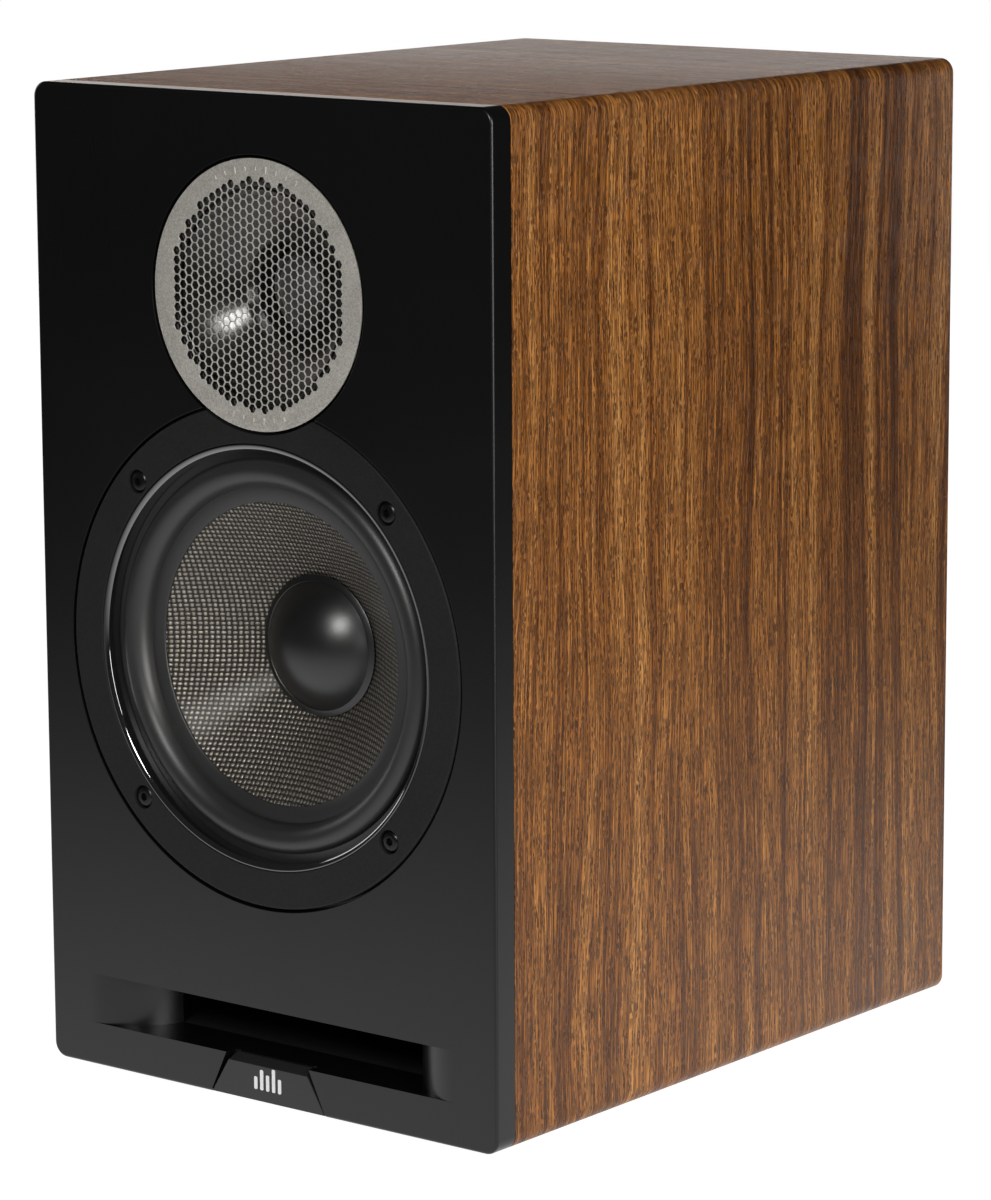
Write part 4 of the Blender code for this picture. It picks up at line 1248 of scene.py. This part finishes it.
def makeGrille():
    # one hexagon is copied over the disc; the cells of the field are opened, and the rest is trimmed round
    sizes = grilleSizes
    pitch, column = sizes["pitch"] * mm, sizes["pitch"] * mm * math.sqrt(3) / 2
    rows = int(sizes["disc"] / sizes["pitch"]) + 2
    columns = int(sizes["disc"] * mm / column / 2) + 2
    deselectAll()
    left, bottom = tweeterAxis.x - 2 * column * columns, tweeterAxis.z - pitch * (rows + 0.5)
    bpy.ops.mesh.primitive_circle_add(vertices=6, radius=pitch / math.sqrt(3), fill_type="NGON",
                                      location=(left, behind(sizes["front"]), bottom),
                                      rotation=(math.pi / 2, math.pi / 6, 0))
    piece = takeNew("tweeterGrille")
    applyModifier(piece, "ARRAY", count=2 * rows + 1, use_relative_offset=False, use_constant_offset=True,
                  constant_offset_displace=(0, 0, pitch))
    applyModifier(piece, "ARRAY", count=2 * columns + 1, use_relative_offset=False, use_constant_offset=True,
                  constant_offset_displace=(2 * column, 0, 0))
    between = copyMoved(piece, "between", Vector((column, 0, pitch / 2)))
    piece = joined("tweeterGrille", [piece, between])

    def reach(point):
        return reachFrom(point, tweeterAxis) / mm

    startEdit(piece, picked="SELECT")
    bpy.ops.mesh.remove_doubles(threshold=pitch * 0.01)
    bpy.ops.mesh.normals_make_consistent(inside=False)
    pickFaces(piece, lambda middle, normal: reach(middle) > sizes["disc"] + sizes["pitch"])
    bpy.ops.mesh.delete(type="FACE")
    pickFaces(piece, lambda middle, normal: reach(middle) < sizes["field"])
    bpy.ops.mesh.inset(thickness=sizes["web"] / 2 * mm, use_individual=True)
    bpy.ops.mesh.delete(type="FACE")
    bpy.ops.mesh.select_all(action="SELECT")
    mesh = bmesh.from_edit_mesh(piece.data)
    mesh.faces.ensure_lookup_table()
    if mesh.faces[0].normal.y > 0:
        bpy.ops.mesh.flip_normals()
    endEdit()
    applyModifier(piece, "SOLIDIFY", thickness=sizes["thick"] * mm, offset=-1.0)
    front, back = sizes["front"], sizes["front"] + sizes["thick"]
    trim = addRound("trim", sizes["disc"], front - 1, back + 1, tweeterAxis, 160)
    cutWith(piece, trim, operation="INTERSECT")
    near, edge = behind(front), sizes["disc"] - 0.02
    bevelRim(piece, lambda point: isAtDepth(point, near) and reach(point) > edge, sizes["rim"], 3)
    startEdit(piece, "EDGE")
    mesh = bmesh.from_edit_mesh(piece.data)
    for edge in mesh.edges:
        walls = [abs(face.normal.y) < 0.1 for face in edge.link_faces]
        level = all(isAtDepth(vertex.co, near) for vertex in edge.verts)
        edge.select_set(level and any(walls) and reach(edge.verts[0].co) < sizes["disc"] - 2)
    bmesh.update_edit_mesh(piece.data)
    bpy.ops.mesh.bevel(offset=sizes["softEdge"] * mm, segments=1, affect="EDGES", clamp_overlap=True)
    endEdit()
    wide, tall, proud = sizes["tick"]
    ticks = []
    for middle, count, step in sizes["ticks"]:
        for number in range(count):
            turn = math.radians(middle + (number - (count - 1) / 2) * step)
            long = tall * (1.0 if number % 3 == 0 else sizes["shortTick"])
            spot = tweeterAxis + Vector((0, 0, sizes["tickCircle"] * mm))
            tick = addBlock("tick", spot, wide / 2, long / 2, near - proud * mm, near + 0.2 * mm)
            bevelEdges(tick, isAlongY, sizes["tickRound"], 3)
            ticks.append(copyTurned(tick, "tick", math.pi / 2 - turn, tweeterAxis))
            bpy.data.objects.remove(tick, do_unlink=True)
    piece = joined("tweeterGrille", [piece] + ticks)
    finishPiece(smoothed(piece, 25), finishes["grille"], "cabinet", "grille", "tweeter_grille")


guideSizes = {"flange": 47.4, "groove": (37.6, 36.8, 4.4), "face": [(3.5, 1.5), (0.25, 2.3), (0.0, 2.5)],
              "lip": (36.4, 2.9), "lipStep": [(0.0, 0.3), (-0.15, 0.05)], "edge": (17.4, 14.6), "flare": 0.72,
              "throat": (15.2, 24.6), "throatStep": [(0.35, 0.5), 3.5], "tube": [(15.2, 27.0), (18.5, 27.0)],
              "back": ((41.9, 6.4), (18.2, 26.8)), "flangeBack": 4.7, "steepness": 0.9, "screws": 3,
              "screwTurn": 80, "screwCircle": 44.8, "hole": (0.5, 2.5, 3.2, 1.5, 7)}


def flarePoint(share):
    # the wall in front, from the lip to the edge of the throat
    lip, edge, even = guideSizes["lip"], guideSizes["edge"], guideSizes["flare"]
    return (lip[0] + (edge[0] - lip[0]) * share,
            lip[1] + (edge[1] - lip[1]) * (even * share + (1 - even) * share**2))


def backPoint(share):
    # the wall behind is flat at the rim and steeper inside
    rim, throat = guideSizes["back"]
    down = (1 - (1 - share) ** 2) ** guideSizes["steepness"]
    return (rim[0] + (throat[0] - rim[0]) * share, rim[1] + (throat[1] - rim[1]) * down)


def makeWaveguide():
    sizes = guideSizes
    flange, lip, edge, throat = sizes["flange"], sizes["lip"], sizes["edge"], sizes["throat"]
    outer, inner, deep = sizes["groove"]
    inward, beyond = sizes["throatStep"]
    front = [(flange, sizes["face"][0][1])] + [(outer + r, d) for r, d in sizes["face"]]
    front += [(outer, deep), (inner, deep)] + [(inner + r, lip[1] + d) for r, d in sizes["lipStep"]]
    front += curved(0, 1, 24, flarePoint)
    front += [(edge[0] - inward[0], edge[1] + inward[1]), (throat[0], edge[1] + beyond), throat]
    back = sizes["tube"] + curved(0, 1, 14, backPoint)[-2::-1]
    back += [(sizes["back"][0][0], sizes["flangeBack"]), (flange, sizes["flangeBack"])]
    piece = spinPiece("waveguide", front + back, tweeterAxis, 160)
    for number in range(sizes["screws"]):
        turn = math.radians(sizes["screwTurn"] + 360 / sizes["screws"] * number)
        place = turnedFrom(tweeterAxis, turn, sizes["screwCircle"])
        cutWith(piece, spinPiece("screwHole", steppedHole(*sizes["hole"]), place, 24))
    finishPiece(smoothed(piece, 30, True), guideFinish, "cabinet", "moulded_black", "tweeter_waveguide")


domeSizes = {"edge": 12.6, "base": 27.2, "sweep": 60, "inside": (0.965, 0.35), "rollMiddle": 14.1,
             "rollEnds": (12.95, 15.2), "front": (0.9, 27.3, 27.3, 0.9), "back": (0.6, 27.7, 27.7, 0.8),
             "rim": 18.3}


def makeDome():
    sizes = domeSizes
    edge, base, sweep = sizes["edge"], sizes["base"], math.radians(sizes["sweep"])
    radius = edge / math.sin(sweep)
    dome = curved(0, sweep, 20, lambda a: (
        radius * math.sin(a), base - radius * (math.cos(a) - math.cos(sweep))))
    narrow, thick = sizes["inside"]
    profile = dome + [(r * narrow, d + thick) for r, d in dome[::-1]]
    piece = spinPiece("tweeterDome", profile, tweeterAxis, 96)
    finishPiece(smoothed(piece, 40), finishes["dome_cloth"], "tweeter_moving", "dome_cloth", "tweeter_dome")
    inner, outer = sizes["rollEnds"]
    near, far = sizes["front"][1], sizes["back"][1]
    front = [(sizes["rim"], near), (outer, near)] + halfRoll(sizes["rollMiddle"], *sizes["front"], 12)
    back = halfRoll(sizes["rollMiddle"], *sizes["back"], 12)[::-1]
    profile = front + [(inner, near), (inner, far)] + back + [(sizes["rim"], far)]
    ring = smoothed(spinPiece("tweeterSuspension", profile, tweeterAxis, 96), 50)
    finishBent(ring, "dome_cloth", "tweeter_suspension", "tweeter_moving", inner, outer)


makeGrille()
makeWaveguide()
makeDome()
print("tweeter")


# rear terminals

cupSizes = {"plate": (50.0, 38.0, 274.3, 276.8, 6.0), "bowl": (41.0, 27.0, 251, 275.3, 6.5),
            "pocket": (39.0, 25.0, 253, 280, 4.5), "plateRound": 0.8, "pocketRound": 2.5, "mouthRound": 0.7,
            "postHole": (3.0, 249, 255), "screws": (44.5, 32.5), "screwHole": (279, 3.3, 275.4, 1.7, 272),
            "mark": (3.0, 0.5), "markOff": 14, "markRise": (0.1, 0.35), "markRound": 0.3}
cupAxis = middleOf("terminal_cup")


def addPlate(name, halfX, halfZ, fromDepth, toDepth, corner):
    piece = addBlock(name, cupAxis, halfX, halfZ, behind(fromDepth), behind(toDepth))
    bevelEdges(piece, isAlongY, corner, 8)
    return piece


def cupScrewPlaces():
    reachX, reachZ = cupSizes["screws"]
    return [cupAxis + Vector((x * reachX, 0, z * reachZ)) * mm for z in (-1, 1) for x in (-1, 1)]


def makeCup():
    sizes = cupSizes
    outside, floor = behind(sizes["plate"][3]), behind(sizes["pocket"][2])
    piece = addPlate("terminalCup", *sizes["plate"])
    bevelRim(piece, lambda point: isAtDepth(point, outside), sizes["plateRound"], 4)
    cutWith(piece, addPlate("bowl", *sizes["bowl"]), operation="UNION")
    pocket = addPlate("pocket", *sizes["pocket"])
    bevelRim(pocket, lambda point: isAtDepth(point, floor), sizes["pocketRound"], 6)
    cutWith(piece, pocket)
    redPost, blackPost = middleOf("red_post_stud"), middleOf("black_post_stud")
    for place in (redPost, blackPost):
        cutWith(piece, addRound("postHole", *sizes["postHole"], place, 32))
    for place in cupScrewPlaces():
        cutWith(piece, spinPiece("screwHole", steppedHole(*sizes["screwHole"]), place, 32))

    def mouth(point):
        x, z = abs(point.x - cupAxis.x) / mm, abs(point.z - cupAxis.z) / mm
        return isAtDepth(point, outside) and x < sizes["pocket"][0] + 0.1 and z < sizes["pocket"][1] + 0.1

    bevelRim(piece, mouth, sizes["mouthRound"], 4)
    finishPiece(smoothed(piece, 26, True), finishes["moulded_black"], "cabinet", "moulded_black", "terminal_cup")
    # raised polarity marks on the pocket's floor, a cross beside the red post and a bar beside the black one
    long, short = sizes["mark"]
    beside = Vector((sizes["markOff"] * mm, 0, 0))
    sunk, proud = sizes["markRise"]
    bars = []
    for place, halfX, halfZ in ((redPost + beside, long, short), (redPost + beside, short, long),
                                (blackPost - beside, long, short)):
        bar = addBlock("bar", place, halfX, halfZ, floor - sunk * mm, floor + proud * mm)
        bevelEdges(bar, isAlongY, sizes["markRound"], 3)
        bars.append(bar)
    finishPiece(smoothed(joined("polarityMarks", bars), 30), markFinish, "cabinet", "moulded_black")


cupScrewSizes = {
    "outline": [(0, 258), (1.3, 259.5), (1.3, 275.7), (3.0, 275.7), (3.0, 276.1), (2.6, 276.5), (1.6, 276.7),
                (0, 276.7)],
    "cross": (1.7, 0.35, 275.7, 278),
}


def makeCupScrews():
    places = cupScrewPlaces()
    screw = spinPiece("screw", cupScrewSizes["outline"], places[0], 40, closed=False)
    long, short, bottom, top = cupScrewSizes["cross"]
    for halfX, halfZ in ((long, short), (short, long)):
        cutWith(screw, addBlock("crossSlot", places[0], halfX, halfZ, behind(bottom), behind(top)))
    copyScrews(screw, places, "cupScrew", "terminal_screw")


postSizes = {
    "stud": [(0, 243), (2.5, 243), (2.5, 247.5), (5, 247.5), (5, 250.7), (2.7, 250.7), (2.7, 253.3),
             (6.5, 253.3), (6.8, 253.6), (6.8, 256.0), (6.5, 256.3), (3.0, 256.3), (3.0, 273.5), (2.6, 274), (2.3, 274),
             (2.0, 273.6), (2.0, 259), (0, 259)],
    "washer": [(3.3, 256.6), (6.2, 256.6), (6.5, 256.9), (6.5, 258.3), (6.2, 258.6), (3.3, 258.6)],
    "knob": [(3.3, 258.9), (6.0, 258.9)] + roundTo((6.0, 259.9), 1.0, -90, 0, 4) + [(7.0, 272.6)]
            + roundTo((5.4, 273.4), 1.6, 0, 90, 5) + [(4.2, 275), (4.0, 274.4), (3.3, 274.4)],
    "flutes": 12,
    "fluteCircle": 7.75,
    "flute": (1.25, 257, 277),
}


def makePosts():
    sizes = postSizes
    count = sizes["flutes"]
    for colour, finish in (("red", "red_plastic"), ("black", "moulded_black")):
        place = middleOf(f"{colour}_post_stud")
        piece = smoothed(spinPiece(f"{colour}Stud", sizes["stud"], place, 64, closed=False), 35)
        finishPiece(piece, finishes["gold"], "cabinet", "gold", f"{colour}_post_stud")
        piece = smoothed(spinPiece(f"{colour}Washer", sizes["washer"], place, 64), 35)
        finishPiece(piece, finishes["gold"], f"{colour}_clamp", "gold", f"{colour}_clamp_washer")
        piece = spinPiece(f"{colour}Knob", sizes["knob"], place, 120)
        flutes = []
        for number in range(count):
            spot = turnedFrom(place, tau * (number + 0.5) / count, sizes["fluteCircle"])
            flutes.append(addRound("flute", *sizes["flute"], spot, 24))
        cutWith(piece, joined("flutes", flutes))
        finishPiece(smoothed(piece, 28, True), finishes[finish], f"{colour}_knob", finish, f"{colour}_post_knob")


foamSizes = {"cells": 18, "valley": 0.4, "fill": 0.9}


def makeFoam():
    # acoustic foam with rows of rounded peaks on the side that faces the drivers
    low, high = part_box("damping_foam")
    cells = foamSizes["cells"]
    piece = addCube("dampingFoam", low, high)
    startEdit(piece, picked="SELECT")
    bpy.ops.mesh.subdivide(number_cuts=cells - 1)
    cell = (high - low) / cells
    mesh = bmesh.from_edit_mesh(piece.data)
    for vertex in mesh.verts:
        column, row = round((vertex.co.x - low.x) / cell.x), round((vertex.co.z - low.z) / cell.z)
        inner = 0 < column < cells and 0 < row < cells
        vertex.select_set(isAtDepth(vertex.co, low.y) and inner and (column % 2 == 0 or row % 2 == 0))
    bmesh.update_edit_mesh(piece.data)
    bpy.ops.mesh.select_mode(type="VERT")
    bpy.ops.transform.translate(value=(0, (high.y - low.y) * foamSizes["valley"], 0))
    endEdit()
    applyModifier(piece, "SUBSURF", levels=2, render_levels=2)
    finishPiece(smoothed(piece, 60), finishes["foam"], "cabinet", "foam", "damping_foam")


makeCup()
makeCupScrews()
makePosts()
makeFoam()
print("rear terminals and foam")
